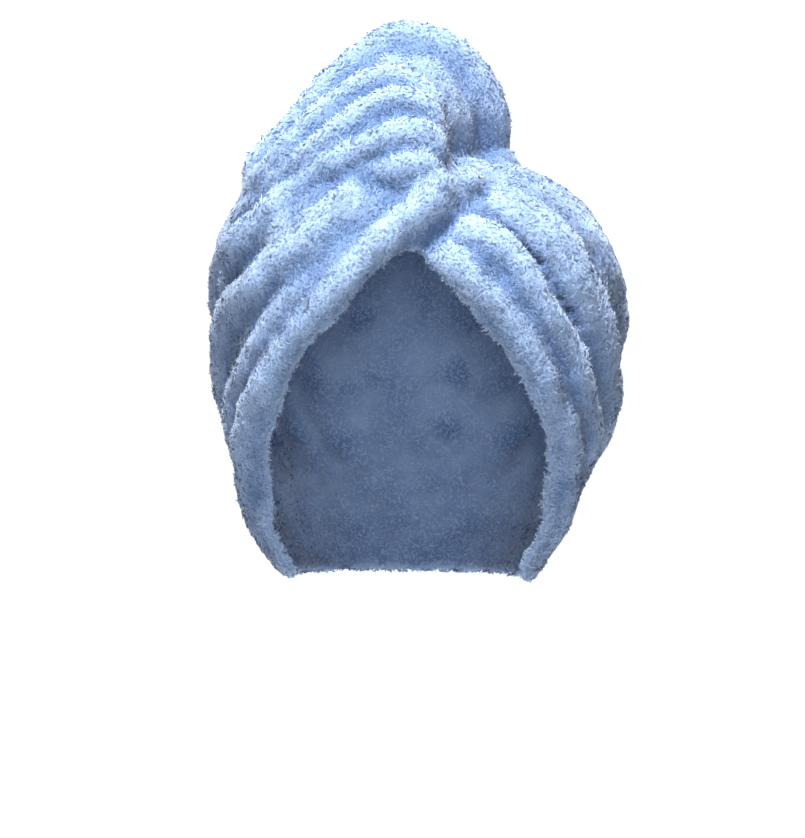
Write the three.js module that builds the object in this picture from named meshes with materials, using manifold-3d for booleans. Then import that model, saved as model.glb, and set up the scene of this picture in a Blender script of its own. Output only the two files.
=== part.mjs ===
// Hair turban towel: a terry hood with a twisted tail laid back over the crown.
// Millimetres, +Z up. The front is -Y, and the origin is where the top of the head touches inside.
import * as THREE from 'three';
import { mergeVertices } from 'three/addons/utils/BufferGeometryUtils.js';
import Module from 'manifold-3d';

// Hood: its smooth form, without the folds
const LEFT_WIDTH = 86; // half widths at the widest level, on the viewer's left and right
const RIGHT_WIDTH = 91;
const FRONT_DEPTH = 93;
const BACK_DEPTH = 104;
const WALL = 3;
const CROWN_RISE = 78; // from the widest level up to the crown
const SKIRT_DROP = 113; // from the widest level down to the lower edge
const CROWN_POWER = 2.3; // 2 is an ellipse, more is fuller
const PLAN_POWER = 2.2;

// Twisted tail
const TAIL_RISE = 56; // from the crown of the head to the top of the tail, without its roll
const TAIL_WIDTH = 110; // at its thickest, over the crown
const HOLLOW_WALL = 6; // from the tail's smooth form in to its hollow
const HOLLOW = { first: 0.10, last: 0.80, rows: 15 }; // the part of the tail's run that is hollow
// The way up from the hood's inside into the tail: where it is, its half sizes and its length
const MOUTH = { run: 0.22, depth: 14, across: 17, deep: 12, back: 10, length: 45 };

// Folds
const FOLD_HALF = 12; // half width of the thickest roll of cloth
const FOLD_HEIGHT = 8; // how far that roll stands off the smooth form
const FOLD_BLEND = 1.2; // rounding where two folds meet

// Fastening at the nape, hidden behind the head
const BUTTON_RADIUS = 11;
const BUTTON_THICK = 3.5;
const BUTTON_EDGE = 0.8; // its bevel
const SHANK_RADIUS = 3;
const SHANK_LENGTH = 4.6;
const CORD_RADIUS = 1.4;
const LOOP_HALF_WIDTH = 8; // to the middle of its cord
const GAP = 0.3; // air between pieces
const CLOTH_GAP = 0.5; // the same between hood and tail, measured straight out from the smooth form
const BUTTON_RATIO = 1.78; // its level on the hood: 1 is the widest one, 2 the lower edge
const LOOP_SHORT = 6; // from the end of the tail to the loop

// Fineness of the facets, even numbers
const HOOD_ROWS = 32;
const HOOD_COLUMNS = 80;
const TAIL_ROWS = 50;
const TAIL_COLUMNS = 34;
const FRONT_ROWS = 28; // how many of the tail's rows lie in its front, up to FRONT_RUN
const FRONT_RUN = 0.36;
const ROW_CROWDING = 0.07; // how much closer the hood's rows lie at its middle
const COLUMN_CROWDING = 0.4; // the same for the tail's columns over its outer side
const FRONT_COLUMNS = 0.35; // share of the hood's columns in front of each ear
const FORM_ROWS = 24; // of the closed forms that are only cut away
const FORM_COLUMNS = 48;
const ROUND_SIDES = 16; // of the hollow and its mouth

// Skirt of the hood below its widest level: shares of the drop, of the two half widths, of the depth
const SKIRT = [
  { drop: 0.00, left: 1.000, right: 1.000, depth: 1.00 },
  { drop: 0.22, left: 0.976, right: 0.977, depth: 1.00 },
  { drop: 0.44, left: 0.944, right: 0.900, depth: 0.97 },
  { drop: 0.62, left: 0.844, right: 0.785, depth: 0.92 },
  { drop: 0.80, left: 0.828, right: 0.714, depth: 0.86 },
  { drop: 0.93, left: 0.757, right: 0.622, depth: 0.80 },
  { drop: 1.00, left: 0.674, right: 0.580, depth: 0.76 },
];

// Front edges of the hood by level (0 crown, 1 widest, 2 lower edge), in degrees from the front.
// The first row is the point of the arch.
const HEM = [
  { level: 0.765, left: -2.0, right: -2.0 },
  { level: 0.80, left: -6.0, right: 2.0 },
  { level: 0.84, left: -9.5, right: 4.0 },
  { level: 0.89, left: -12.5, right: 6.5 },
  { level: 0.99, left: -21.0, right: 14.0 },
  { level: 1.09, left: -32.5, right: 22.0 },
  { level: 1.20, left: -39.5, right: 28.0 },
  { level: 1.28, left: -43.5, right: 32.5 },
  { level: 1.38, left: -49.5, right: 40.0 },
  { level: 1.49, left: -57.5, right: 48.0 },
  { level: 1.61, left: -66.5, right: 56.0 },
  { level: 1.76, left: -73.0, right: 64.0 },
  { level: 1.87, left: -75.0, right: 69.0 },
  { level: 2.00, left: -78.0, right: 74.0 },
];

// Smooth form of the tail by its run. Centre: side as a share of TAIL_WIDTH, back as one of
// BACK_DEPTH, up as one of TAIL_RISE. Section: half widths left and right as shares of TAIL_WIDTH,
// heights over and under the centre as shares of TAIL_RISE (low on its left, under on its right).
// The powers a and b shape its left and right shoulders: 1 is straight, 2 round, more is square.
const TAIL_COLUMN_NAMES = ['run', 'side', 'back', 'up', 'left', 'right', 'over', 'low', 'under', 'a', 'b'];
const TAIL = [
  [0.00, 0.036, -0.63, -0.716, 0.121, 0.086, 0.208, 0.287, 0.210, 1.9, 2.0],
  [0.05, 0.016, -0.58, -0.596, 0.290, 0.124, 0.445, 0.862, 0.360, 1.7, 2.0],
  [0.12, -0.034, -0.48, -0.396, 0.476, 0.163, 0.633, 1.206, 0.460, 1.5, 2.1],
  [0.20, -0.084, -0.35, -0.216, 0.542, 0.239, 0.761, 1.436, 0.540, 1.4, 2.3],
  [0.30, -0.084, -0.12, -0.076, 0.394, 0.383, 0.939, 1.494, 0.540, 1.4, 2.5],
  [0.42, -0.084, 0.17, -0.076, 0.361, 0.393, 0.900, 1.321, 0.500, 1.5, 2.4],
  [0.54, -0.081, 0.48, -0.249, 0.304, 0.356, 0.762, 0.964, 0.460, 1.8, 2.2],
  [0.66, -0.040, 0.75, -0.633, 0.296, 0.306, 0.638, 0.575, 0.430, 2.0, 2.1],
  [0.76, -0.010, 0.94, -1.110, 0.250, 0.250, 0.520, 0.430, 0.430, 2.0, 2.0],
  [0.85, 0.000, 1.02, -1.640, 0.200, 0.200, 0.410, 0.390, 0.390, 2.0, 2.0],
  [0.93, 0.000, 0.99, -2.110, 0.150, 0.150, 0.300, 0.320, 0.320, 2.0, 2.0],
  [0.98, 0.000, 0.95, -2.360, 0.100, 0.100, 0.200, 0.200, 0.200, 2.0, 2.0],
  [1.00, 0.000, 0.94, -2.450, 0.040, 0.040, 0.080, 0.080, 0.080, 2.0, 2.0],
].map((row) => Object.fromEntries(row.map((value, index) => [TAIL_COLUMN_NAMES[index], value])));

// Folds of the cloth. half and high are shares of FOLD_HALF and FOLD_HEIGHT, high below 0 is a groove.
// path has a row per point: h is a place on the hood (degrees from the front, level),
// t a place on the tail (run, degrees round it from its outer side).
const FOLDS = [
  { name: 'top_roll', half: 1.0, high: 1.0, path: [
    ['h', -150, 1.70], ['h', -128, 1.25], ['h', -108, 0.95], ['h', -92, 0.72], ['h', -82, 0.56],
    ['t', 0.22, -86], ['t', 0.25, -72], ['t', 0.28, -52], ['t', 0.30, -30], ['t', 0.31, 0],
    ['t', 0.31, 30], ['t', 0.31, 60], ['t', 0.33, 90], ['t', 0.36, 115]] },
  { name: 'second_roll', half: 0.72, high: 0.8, path: [
    ['h', -104, 0.98], ['h', -92, 0.76], ['h', -83, 0.62], ['t', 0.16, -86], ['t', 0.17, -67],
    ['t', 0.195, -45], ['t', 0.21, -18], ['t', 0.205, 0], ['t', 0.195, 14], ['t', 0.185, 28],
    ['t', 0.17, 40]] },
  { name: 'third_roll', half: 0.74, high: 0.85, path: [
    ['h', -135, 1.62], ['h', -112, 1.22], ['h', -92, 0.90], ['h', -77, 0.71], ['h', -57, 0.59],
    ['t', 0.12, -81], ['t', 0.125, -65], ['t', 0.145, -40], ['t', 0.165, -16], ['t', 0.17, 3],
    ['t', 0.165, 18], ['t', 0.15, 30], ['t', 0.13, 42]] },
  { name: 'fourth_roll', half: 0.74, high: 0.85, path: [
    ['h', -86, 1.00], ['h', -72, 0.84], ['h', -60, 0.76], ['h', -49, 0.67], ['h', -40, 0.57],
    ['t', 0.09, -68], ['t', 0.095, -45], ['t', 0.11, -17], ['t', 0.115, 0], ['t', 0.11, 21],
    ['t', 0.10, 39]] },
  { name: 'fifth_roll', half: 0.78, high: 0.75, path: [
    ['h', -120, 1.85], ['h', -104, 1.50], ['h', -86, 1.18], ['h', -70, 0.98], ['h', -55, 0.92],
    ['h', -42, 0.83], ['h', -32, 0.77], ['h', -25.5, 0.68], ['h', -19, 0.615], ['t', 0.055, -52],
    ['t', 0.06, -21], ['t', 0.065, 4], ['t', 0.07, 30]] },
  { name: 'sixth_roll', half: 0.72, high: 0.55, path: [
    ['h', -95, 1.90], ['h', -84, 1.58], ['h', -71, 1.28], ['h', -55.5, 1.16], ['h', -43, 1.01],
    ['h', -32, 0.93], ['h', -23, 0.86], ['h', -15.5, 0.77], ['h', -7.5, 0.695], ['h', -1.5, 0.615],
    ['t', 0.03, 0]] },
  { name: 'crossing_roll', half: 1.0, high: 0.95, path: [
    ['h', -88, 1.90], ['h', -80, 1.75], ['h', -72, 1.59], ['h', -60, 1.44], ['h', -49, 1.28],
    ['h', -37, 1.13], ['h', -28, 1.00], ['h', -19, 0.92], ['h', -12, 0.83], ['h', -6, 0.74],
    ['h', 0, 0.65], ['h', 8, 0.565], ['h', 17, 0.47]] },
  { name: 'crossing_groove', half: 0.5, high: -0.7, path: [
    ['h', 1, 0.79], ['h', 4, 0.735], ['h', 8, 0.67], ['h', 13, 0.60], ['h', 19, 0.54], ['h', 26, 0.49]] },
  { name: 'right_edge_fold', half: 0.8, high: 0.6, path: [
    ['h', 2, 0.76], ['h', 7.5, 0.83], ['h', 14.5, 0.92], ['h', 23, 1.01], ['h', 31, 1.14],
    ['h', 39, 1.29], ['h', 50, 1.43], ['h', 62, 1.59], ['h', 71, 1.74], ['h', 80, 1.92]] },
  { name: 'right_middle_fold', half: 0.9, high: 0.6, path: [
    ['h', 11, 0.62], ['h', 19.5, 0.735], ['h', 27, 0.85], ['h', 34, 0.97], ['h', 43, 1.10],
    ['h', 51.5, 1.26], ['h', 62.5, 1.40], ['h', 73, 1.60], ['h', 86, 1.88]] },
  { name: 'right_outer_fold', half: 1.1, high: 0.5, path: [
    ['h', 24, 0.50], ['h', 35.5, 0.62], ['h', 45, 0.76], ['h', 54, 0.92], ['h', 64, 1.08],
    ['h', 76, 1.26], ['h', 92, 1.52], ['h', 110, 1.85]] },
  { name: 'right_side_fold', half: 1.1, high: 0.4, path: [
    ['h', 60, 0.62], ['h', 78, 0.84], ['h', 96, 1.10], ['h', 116, 1.42], ['h', 138, 1.80]] },
  { name: 'right_back_fold', half: 1.1, high: 0.45, path: [
    ['h', 104, 0.66], ['h', 120, 0.95], ['h', 137, 1.28], ['h', 155, 1.62]] },
  { name: 'left_back_fold', half: 1.1, high: 0.45, path: [
    ['h', -122, 0.72], ['h', -134, 0.98], ['h', -148, 1.28], ['h', -160, 1.58]] },
  { name: 'forehead_groove', half: 0.55, high: -0.5, path: [
    ['h', 12, 0.55], ['h', 20.5, 0.635], ['h', 26, 0.70], ['h', 31, 0.77], ['h', 36, 0.87],
    ['h', 42, 0.96], ['h', 52, 1.08]] },
];

// The twist goes on as a row of slanting folds along the back of the tail
// (first and pitch are runs at the tail's outer side, slant is how far a fold runs on to each side,
// half and high are shares of the tail's own half width, up to the shares of the FOLDS table in most).
const TWIST = {
  count: 7, first: 0.405, pitch: 0.083, slant: 0.035, half: 0.34, high: 0.26, most: [0.95, 0.8], end: 0.97,
};

// Broad swellings under the folds, where the hood fills out towards the tail
const SWELLS = [
  { half: 2.5, high: 0.65, path: [
    ['h', -72, 0.76], ['h', -60, 0.70], ['h', -46, 0.62], ['h', -30, 0.56], ['h', -12, 0.48]] },
  { half: 2.0, high: 0.4, path: [
    ['h', -8, 0.55], ['h', 6, 0.46], ['h', 20, 0.38]] },
];

// The front edges: a slim ridge, in which the cloth turns in towards the head
const HEM_FOLD = { half: 0.45, high: 0.26 };
const HEM_TURN = { depth: 5, reach: 12 };

function between(rows, key, value, name) {
  // straight-line value of a column between the rows of a table
  let index = 0;
  while (index < rows.length - 2 && value > rows[index + 1][key]) index += 1;
  const low = rows[index];
  const high = rows[index + 1];
  const share = THREE.MathUtils.clamp((value - low[key]) / (high[key] - low[key]), 0, 1);
  return low[name] + (high[name] - low[name]) * share;
}

function eased(rows, key, value, name) {
  // smooth value of a column: a cubic with the rows' own mean slopes
  let index = 0;
  while (index < rows.length - 2 && value > rows[index + 1][key]) index += 1;
  const slope = (at) => {
    const before = rows[Math.max(at - 1, 0)];
    const after = rows[Math.min(at + 1, rows.length - 1)];
    return (after[name] - before[name]) / (after[key] - before[key]);
  };
  const low = rows[index];
  const high = rows[index + 1];
  const span = high[key] - low[key];
  const t = THREE.MathUtils.clamp((value - low[key]) / span, 0, 1);
  const startShare = 2 * t ** 3 - 3 * t ** 2 + 1;
  const startSlope = (t ** 3 - 2 * t ** 2 + t) * span * slope(index);
  const endSlope = (t ** 3 - t ** 2) * span * slope(index + 1);
  return startShare * low[name] + startSlope + (1 - startShare) * high[name] + endSlope;
}

function signedPower(value, power) {
  return Math.sign(value) * Math.abs(value) ** power;
}

function hoodPoint(degrees, level) {
  // a point of the hood's smooth form
  const turn = THREE.MathUtils.degToRad(degrees);
  const dip = Math.min(level, 1) * Math.PI / 2;
  const side = Math.sin(turn) < 0 ? 'left' : 'right';
  let spread = Math.sin(dip) ** (2 / CROWN_POWER);
  let deep = spread;
  let height = WALL - CROWN_RISE + CROWN_RISE * Math.abs(Math.cos(dip)) ** (2 / CROWN_POWER);
  if (level > 1) {
    spread = between(SKIRT, 'drop', level - 1, side);
    deep = between(SKIRT, 'drop', level - 1, 'depth');
    height = WALL - CROWN_RISE - SKIRT_DROP * (level - 1);
  }
  const depth = Math.cos(turn) > 0 ? FRONT_DEPTH : BACK_DEPTH;
  const halfWidth = side === 'left' ? LEFT_WIDTH : RIGHT_WIDTH;
  return new THREE.Vector3(
    halfWidth * spread * signedPower(Math.sin(turn), 2 / PLAN_POWER),
    -depth * deep * signedPower(Math.cos(turn), 2 / PLAN_POWER),
    height,
  );
}

function hoodNormal(degrees, level) {
  // outward direction, from two short steps on the smooth form
  const step = 0.02;
  const steepest = THREE.MathUtils.clamp(level, step, 2 - step);
  const across = hoodPoint(degrees + 1, steepest).sub(hoodPoint(degrees - 1, steepest));
  const down = hoodPoint(degrees, steepest + step).sub(hoodPoint(degrees, steepest - step));
  if (level < step) return new THREE.Vector3(0, 0, 1);
  return down.cross(across).normalize();
}

function tailCentre(run) {
  return new THREE.Vector3(
    TAIL_WIDTH * eased(TAIL, 'run', run, 'side'),
    BACK_DEPTH * eased(TAIL, 'run', run, 'back'),
    TAIL_RISE * eased(TAIL, 'run', run, 'up'),
  );
}

function tailPoint(run, degrees, inset = 0) {
  // a point of the tail's smooth form, or of one that lies inset inside it
  const step = 0.002;
  const ahead = tailCentre(Math.min(run + step, 1));
  const along = ahead.sub(tailCentre(Math.max(run - step, 0)));
  const outward = new THREE.Vector3(0, -along.z, along.y).normalize();
  const turn = THREE.MathUtils.degToRad(degrees);
  const side = Math.sin(turn);
  const over = Math.cos(turn);
  const width = TAIL_WIDTH * eased(TAIL, 'run', run, side < 0 ? 'left' : 'right');
  const lower = side < 0 ? 'low' : 'under';
  const height = TAIL_RISE * eased(TAIL, 'run', run, over > 0 ? 'over' : lower);
  const shoulder = eased(TAIL, 'run', run, side < 0 ? 'a' : 'b');
  const power = over > 0 ? shoulder : 2;
  const reach = ((Math.abs(side) / width) ** power + (Math.abs(over) / height) ** power) ** (-1 / power);
  const radius = Math.max(reach - inset, 0.5);
  return tailCentre(run)
    .addScaledVector(outward, over * radius)
    .add(new THREE.Vector3(side * radius, 0, 0));
}

function foldLine(fold) {
  // the fold's path in space, with its half width and height at each point
  const points = fold.path.map(([where, a, b]) => (where === 'h' ? hoodPoint(a, b) : tailPoint(a, b)));
  const curve = new THREE.CatmullRomCurve3(points, false, 'centripetal');
  const count = points.length * 5;
  return curve.getSpacedPoints(count).map((point, index) => {
    const share = index / count;
    // folds grow out of the cloth over the first sixth of their length and sink into it over the last
    const fade = Math.min(1, 6 * share + 0.1, 6 * (1 - share) + 0.25);
    return { point, half: FOLD_HALF * fold.half, high: FOLD_HEIGHT * fold.high * fade };
  });
}

function twistFold(order) {
  const run = TWIST.first + TWIST.pitch * order;
  const size = TAIL_WIDTH * between(TAIL, 'run', run, 'left') / FOLD_HALF;
  const slant = (share) => Math.min(run + TWIST.slant * share, TWIST.end);
  return {
    half: Math.min(TWIST.most[0], TWIST.half * size),
    high: Math.min(TWIST.most[1], TWIST.high * size),
    path: [
      ['t', slant(-1.2), -125], ['t', slant(-1), -90], ['t', slant(-0.6), -50], ['t', slant(0), 0],
      ['t', slant(0.6), 50], ['t', slant(1), 90], ['t', slant(1.2), 125]],
  };
}

function hemFold(side) {
  return { ...HEM_FOLD, path: HEM.map((row) => ['h', row[side], row.level]) };
}

const hemLines = [hemFold('left'), hemFold('right')].map(foldLine);
const foldLines = [
  ...[...FOLDS, ...Array.from({ length: TWIST.count }, (unused, order) => twistFold(order))].map(foldLine),
  ...hemLines,
];

const swellLines = SWELLS.map(foldLine);

function swellHeight(place) {
  // how far the broad swellings lift the cloth at a place
  let total = 0;
  for (const line of swellLines) {
    const lifts = line.map(({ point, half, high }) => {
      const share = Math.min(place.distanceTo(point) / half, 1);
      return high * (1 - share * share) ** 2;
    });
    total += Math.max(...lifts);
  }
  return total;
}

function hemTurn(place) {
  // how far the cloth is turned in along the front edges
  const away = Math.min(...hemLines.flat().map(({ point }) => place.distanceTo(point)));
  return HEM_TURN.depth * Math.max(1 - away / HEM_TURN.reach, 0) ** 2;
}

const known = new Map();

function outside(place) {
  // how far the outer side stands off the smooth form, worked out once for each place
  const key = place.toArray().map((value) => value.toFixed(4)).join();
  if (!known.has(key)) known.set(key, foldHeight(place) - hemTurn(place));
  return known.get(key);
}

function foldHeight(place) {
  // how far the cloth stands off the smooth form at a place: the highest fold there, less the grooves
  let ridge = 0;
  let groove = 0;
  for (const line of foldLines) {
    let best = 0;
    for (const { point, half, high } of line) {
      const share = place.distanceTo(point) / half;
      if (share < 1) {
        const here = high * (1 - share * share);
        best = Math.abs(here) > Math.abs(best) ? here : best;
      }
    }
    if (best > 0) {
      const mix = Math.max(FOLD_BLEND - Math.abs(ridge - best), 0) / FOLD_BLEND;
      ridge = Math.max(ridge, best) + mix * mix * FOLD_BLEND / 4;
    } else {
      groove = Math.min(groove, best);
    }
  }
  return ridge + groove * THREE.MathUtils.clamp(1 - ridge / FOLD_HEIGHT, 0, 1) + swellHeight(place);
}

// Triangles are gathered corner by corner and then welded
function surface() {
  const corners = [];
  const triangle = (a, b, c) => {
    const small = 1e-4;
    if (a.distanceTo(b) > small && b.distanceTo(c) > small && c.distanceTo(a) > small) corners.push(a, b, c);
  };
  const quad = (a, b, c, d, across) => {
    if (across) {
      triangle(a, b, c);
      triangle(a, c, d);
    } else {
      triangle(a, b, d);
      triangle(b, c, d);
    }
  };
  return { corners, triangle, quad };
}

function welded(corners) {
  const geometry = new THREE.BufferGeometry().setFromPoints(corners);
  return mergeVertices(geometry, 1e-3);
}

function sheetOf(grid, build, flip, guide = grid) {
  // facets between the points of a grid. The guide's shorter diagonals are used, so that
  // a grown copy of a surface has the same facets as the surface
  const corner = (points, row, column) => [
    points[row][column], points[row][column + 1], points[row + 1][column + 1], points[row + 1][column]];
  for (let row = 0; row < grid.length - 1; row += 1) {
    for (let column = 0; column < grid[row].length - 1; column += 1) {
      const [a, b, c, d] = corner(grid, row, column);
      const [first, second, third, fourth] = corner(guide, row, column);
      const across = first.distanceTo(third) < second.distanceTo(fourth);
      if (flip) build.quad(d, c, b, a, !across);
      else build.quad(a, b, c, d, across);
    }
  }
}

function rimOf(fine, coarse, build, flip) {
  // joins an edge to one with half as many steps
  const add = (a, b, c) => (flip ? build.triangle(c, b, a) : build.triangle(a, b, c));
  for (let step = 0; step < coarse.length - 1; step += 1) {
    const [first, middle, last] = fine.slice(2 * step, 2 * step + 3);
    add(first, middle, coarse[step]);
    add(middle, coarse[step + 1], coarse[step]);
    add(middle, last, coarse[step + 1]);
  }
}

function hoodLevel(share) {
  // rows lie closest between the forehead and the ears
  return 2 * (share + ROW_CROWDING * Math.sin(2 * Math.PI * share));
}

function hoodDegrees(level, share) {
  // from the right front edge round the back to the left front edge, closest at the front
  const left = level <= HEM[0].level ? HEM[0].left : between(HEM, 'level', level, 'left');
  const right = level <= HEM[0].level ? HEM[0].right : between(HEM, 'level', level, 'right');
  const front = FRONT_COLUMNS;
  if (share <= front) return right + (90 - right) * share / front;
  if (share >= 1 - front) return 270 + (90 + left) * (share - 1 + front) / front;
  return 90 + 180 * (share - front) / (1 - 2 * front);
}

function hoodShell(grown = 0) {
  // the hood as a bag open at the face and below, its outer side grown by a clearance
  // all rows are shifted a little, so that an even one runs through the point of the arch
  const tip = HEM[0].level;
  const even = Array.from({ length: HOOD_ROWS + 1 }, (unused, row) => hoodLevel(row / HOOD_ROWS));
  let point = 0;
  even.forEach((level, row) => {
    if (row % 2 === 0 && Math.abs(level - tip) < Math.abs(even[point] - tip)) point = row;
  });
  const shift = even[point];
  const levels = even.map((level) => (
    level < shift ? level * tip / shift : 2 - (2 - level) * (2 - tip) / (2 - shift)));
  const grid = (step, lift) => {
    const rows = [];
    for (let row = 0; row <= HOOD_ROWS; row += step) {
      const line = [];
      for (let column = 0; column <= HOOD_COLUMNS; column += step) {
        const degrees = hoodDegrees(levels[row], column / HOOD_COLUMNS);
        const base = hoodPoint(degrees, levels[row]);
        line.push(base.clone().addScaledVector(hoodNormal(degrees, levels[row]), lift(base)));
      }
      if (row <= point) line[line.length - 1] = line[0].clone();
      rows.push(line);
    }
    return rows;
  };
  const cloth = grid(1, outside);
  const outer = grown > 0 ? grid(1, (base) => outside(base) + grown) : cloth;
  const inner = grid(2, (base) => -WALL - hemTurn(base));
  const build = surface();
  sheetOf(outer, build, false, cloth);
  sheetOf(inner, build, true);
  const rightEdge = outer.slice(point).map((line) => line[0]);
  const leftEdge = outer.slice(point).map((line) => line.at(-1));
  const innerRight = inner.slice(point / 2).map((line) => line[0]);
  const innerLeft = inner.slice(point / 2).map((line) => line.at(-1));
  rimOf(rightEdge, innerRight, build, false);
  rimOf(leftEdge, innerLeft, build, true);
  rimOf(outer.at(-1), inner.at(-1), build, false);
  return welded(build.corners);
}

function closedForm(offset, folded = false) {
  // the hood's smooth form as a closed body with a flat bottom, grown or shrunk by offset,
  // and with its folds where folded is true
  const build = surface();
  const grid = [];
  for (let row = 0; row <= FORM_ROWS; row += 1) {
    const level = 2 * row / FORM_ROWS;
    const line = [];
    for (let column = 0; column <= FORM_COLUMNS; column += 1) {
      const degrees = 360 * (column % FORM_COLUMNS) / FORM_COLUMNS;
      const base = hoodPoint(degrees, level);
      const lift = offset + (folded ? foldHeight(base) : 0);
      line.push(base.clone().addScaledVector(hoodNormal(degrees, level), lift));
    }
    grid.push(line);
  }
  sheetOf(grid, build, false);
  const centre = new THREE.Vector3();
  grid.at(-1).slice(1).forEach((point) => centre.addScaledVector(point, 1 / FORM_COLUMNS));
  grid.at(-1).slice(1).forEach((point, index) => build.triangle(grid.at(-1)[index], point, centre));
  return welded(build.corners);
}

function tailRuns() {
  // the places of the tail's rows along it, closest at its front
  return Array.from({ length: TAIL_ROWS + 1 }, (unused, row) => {
    if (row <= FRONT_ROWS) return FRONT_RUN * row / FRONT_ROWS;
    return FRONT_RUN + (1 - FRONT_RUN) * (row - FRONT_ROWS) / (TAIL_ROWS - FRONT_ROWS);
  });
}

function tailForm(runs, columns, inset) {
  // the tail as a closed body, with its folds, or smooth and smaller where inset is above 0
  const build = surface();
  const grid = [];
  for (const run of runs) {
    const line = [];
    const centre = tailCentre(run);
    for (let column = 0; column <= columns; column += 1) {
      // columns lie closest over the tail's outer side
      const turn = 2 * Math.PI * (column % columns) / columns;
      const degrees = THREE.MathUtils.radToDeg(turn - COLUMN_CROWDING * Math.sin(turn)) - 180;
      const base = tailPoint(run, degrees, inset);
      const outward = base.clone().sub(centre).normalize();
      line.push(inset > 0 ? base : base.clone().addScaledVector(outward, foldHeight(base)));
    }
    grid.push(line);
  }
  sheetOf(grid, build, false);
  for (const [line, run] of [[grid[0], runs[0]], [grid.at(-1), runs.at(-1)]]) {
    const centre = tailCentre(run);
    for (let column = 0; column < columns; column += 1) {
      if (run === runs[0]) build.triangle(line[column + 1], line[column], centre);
      else build.triangle(line[column], line[column + 1], centre);
    }
  }
  return welded(build.corners);
}

const wasm = await Module();
wasm.setup();

function solid(geometry) {
  const positions = geometry.attributes.position;
  let triangles = Uint32Array.from(geometry.index.array);
  let volume = 0;
  const [a, b, c] = [new THREE.Vector3(), new THREE.Vector3(), new THREE.Vector3()];
  for (let index = 0; index < triangles.length; index += 3) {
    a.fromBufferAttribute(positions, triangles[index]);
    b.fromBufferAttribute(positions, triangles[index + 1]);
    c.fromBufferAttribute(positions, triangles[index + 2]);
    volume += a.dot(b.cross(c));
  }
  if (volume < 0) triangles = triangles.reverse();
  return new wasm.Manifold(new wasm.Mesh({
    numProp: 3,
    vertProperties: Float32Array.from(positions.array),
    triVerts: triangles,
  }));
}

function meshOf(name, body, colour, roughness) {
  const { vertProperties, triVerts, numProp } = body.getMesh();
  const geometry = new THREE.BufferGeometry();
  const flat = new Float32Array(vertProperties.length / numProp * 3);
  for (let index = 0; index < flat.length / 3; index += 1) {
    for (let axis = 0; axis < 3; axis += 1) flat[3 * index + axis] = vertProperties[numProp * index + axis];
  }
  geometry.setAttribute('position', new THREE.BufferAttribute(flat, 3));
  geometry.setIndex(new THREE.BufferAttribute(Uint32Array.from(triVerts), 1));
  const material = new THREE.MeshStandardMaterial({ color: colour, roughness, metalness: 0 });
  const mesh = new THREE.Mesh(geometry, material);
  mesh.name = name;
  return mesh;
}

// The hood, and over it the tail, hollow and open into the hood. Both are one cloth on the real
// thing, and here two bodies with a little air between, so that the tail's hollow stays a real one.
const mouthTop = tailPoint(MOUTH.run, 0, HOLLOW_WALL + MOUTH.depth);
const mouthBottom = mouthTop.clone().add(new THREE.Vector3(0, MOUTH.back, -MOUTH.length));
const mouth = solid(mouthDuct(mouthTop, mouthBottom));
const hood = solid(hoodShell()).subtract(mouth);
const tailHollow = solid(tailForm(hollowRuns(), ROUND_SIDES, HOLLOW_WALL))
  .subtract(solid(closedForm(WALL, true)));
const tail = solid(tailForm(tailRuns(), TAIL_COLUMNS, 0))
  .subtract(solid(closedForm(-WALL / 2)))
  .subtract(solid(hoodShell(CLOTH_GAP)))
  .subtract(tailHollow)
  .subtract(mouth);

function hollowRuns() {
  const { first, last, rows } = HOLLOW;
  return Array.from({ length: rows }, (unused, row) => first + (last - first) * row / (rows - 1));
}

function mouthDuct(top, bottom) {
  // the way from the hood's inside up into the tail
  const rim = (centre, column) => {
    const turn = 2 * Math.PI * (column % ROUND_SIDES) / ROUND_SIDES;
    const [across, deep] = [MOUTH.across * Math.cos(turn), MOUTH.deep * Math.sin(turn)];
    return centre.clone().add(new THREE.Vector3(across, deep, 0));
  };
  const build = surface();
  for (let column = 0; column < ROUND_SIDES; column += 1) {
    build.quad(rim(top, column), rim(top, column + 1), rim(bottom, column + 1), rim(bottom, column), true);
    build.triangle(rim(top, column + 1), rim(top, column), top);
    build.triangle(rim(bottom, column), rim(bottom, column + 1), bottom);
  }
  return welded(build.corners);
}

// Button: a plain round one, its shank standing just off the cloth
const napePoint = hoodPoint(180, BUTTON_RATIO);
const napeOut = hoodNormal(180, BUTTON_RATIO);
const napeTurn = new THREE.Quaternion().setFromUnitVectors(new THREE.Vector3(0, 0, 1), napeOut);

function atNape(geometry) {
  geometry.applyQuaternion(napeTurn);
  geometry.translate(napePoint.x, napePoint.y, napePoint.z);
  geometry.deleteAttribute('normal');
  geometry.deleteAttribute('uv');
  return mergeVertices(geometry, 1e-3);
}

function buttonForm() {
  const edge = BUTTON_EDGE;
  const top = GAP + SHANK_LENGTH + BUTTON_THICK;
  const profile = [
    [0, GAP],
    [SHANK_RADIUS, GAP],
    [SHANK_RADIUS, GAP + SHANK_LENGTH],
    [BUTTON_RADIUS - edge, GAP + SHANK_LENGTH],
    [BUTTON_RADIUS, GAP + SHANK_LENGTH + edge],
    [BUTTON_RADIUS, top - edge],
    [BUTTON_RADIUS - edge, top],
    [0, top - edge],
  ].map(([radius, height]) => new THREE.Vector2(radius, height));
  const lathe = new THREE.LatheGeometry(profile, 32);
  lathe.rotateX(Math.PI / 2);
  return atNape(lathe);
}

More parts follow.
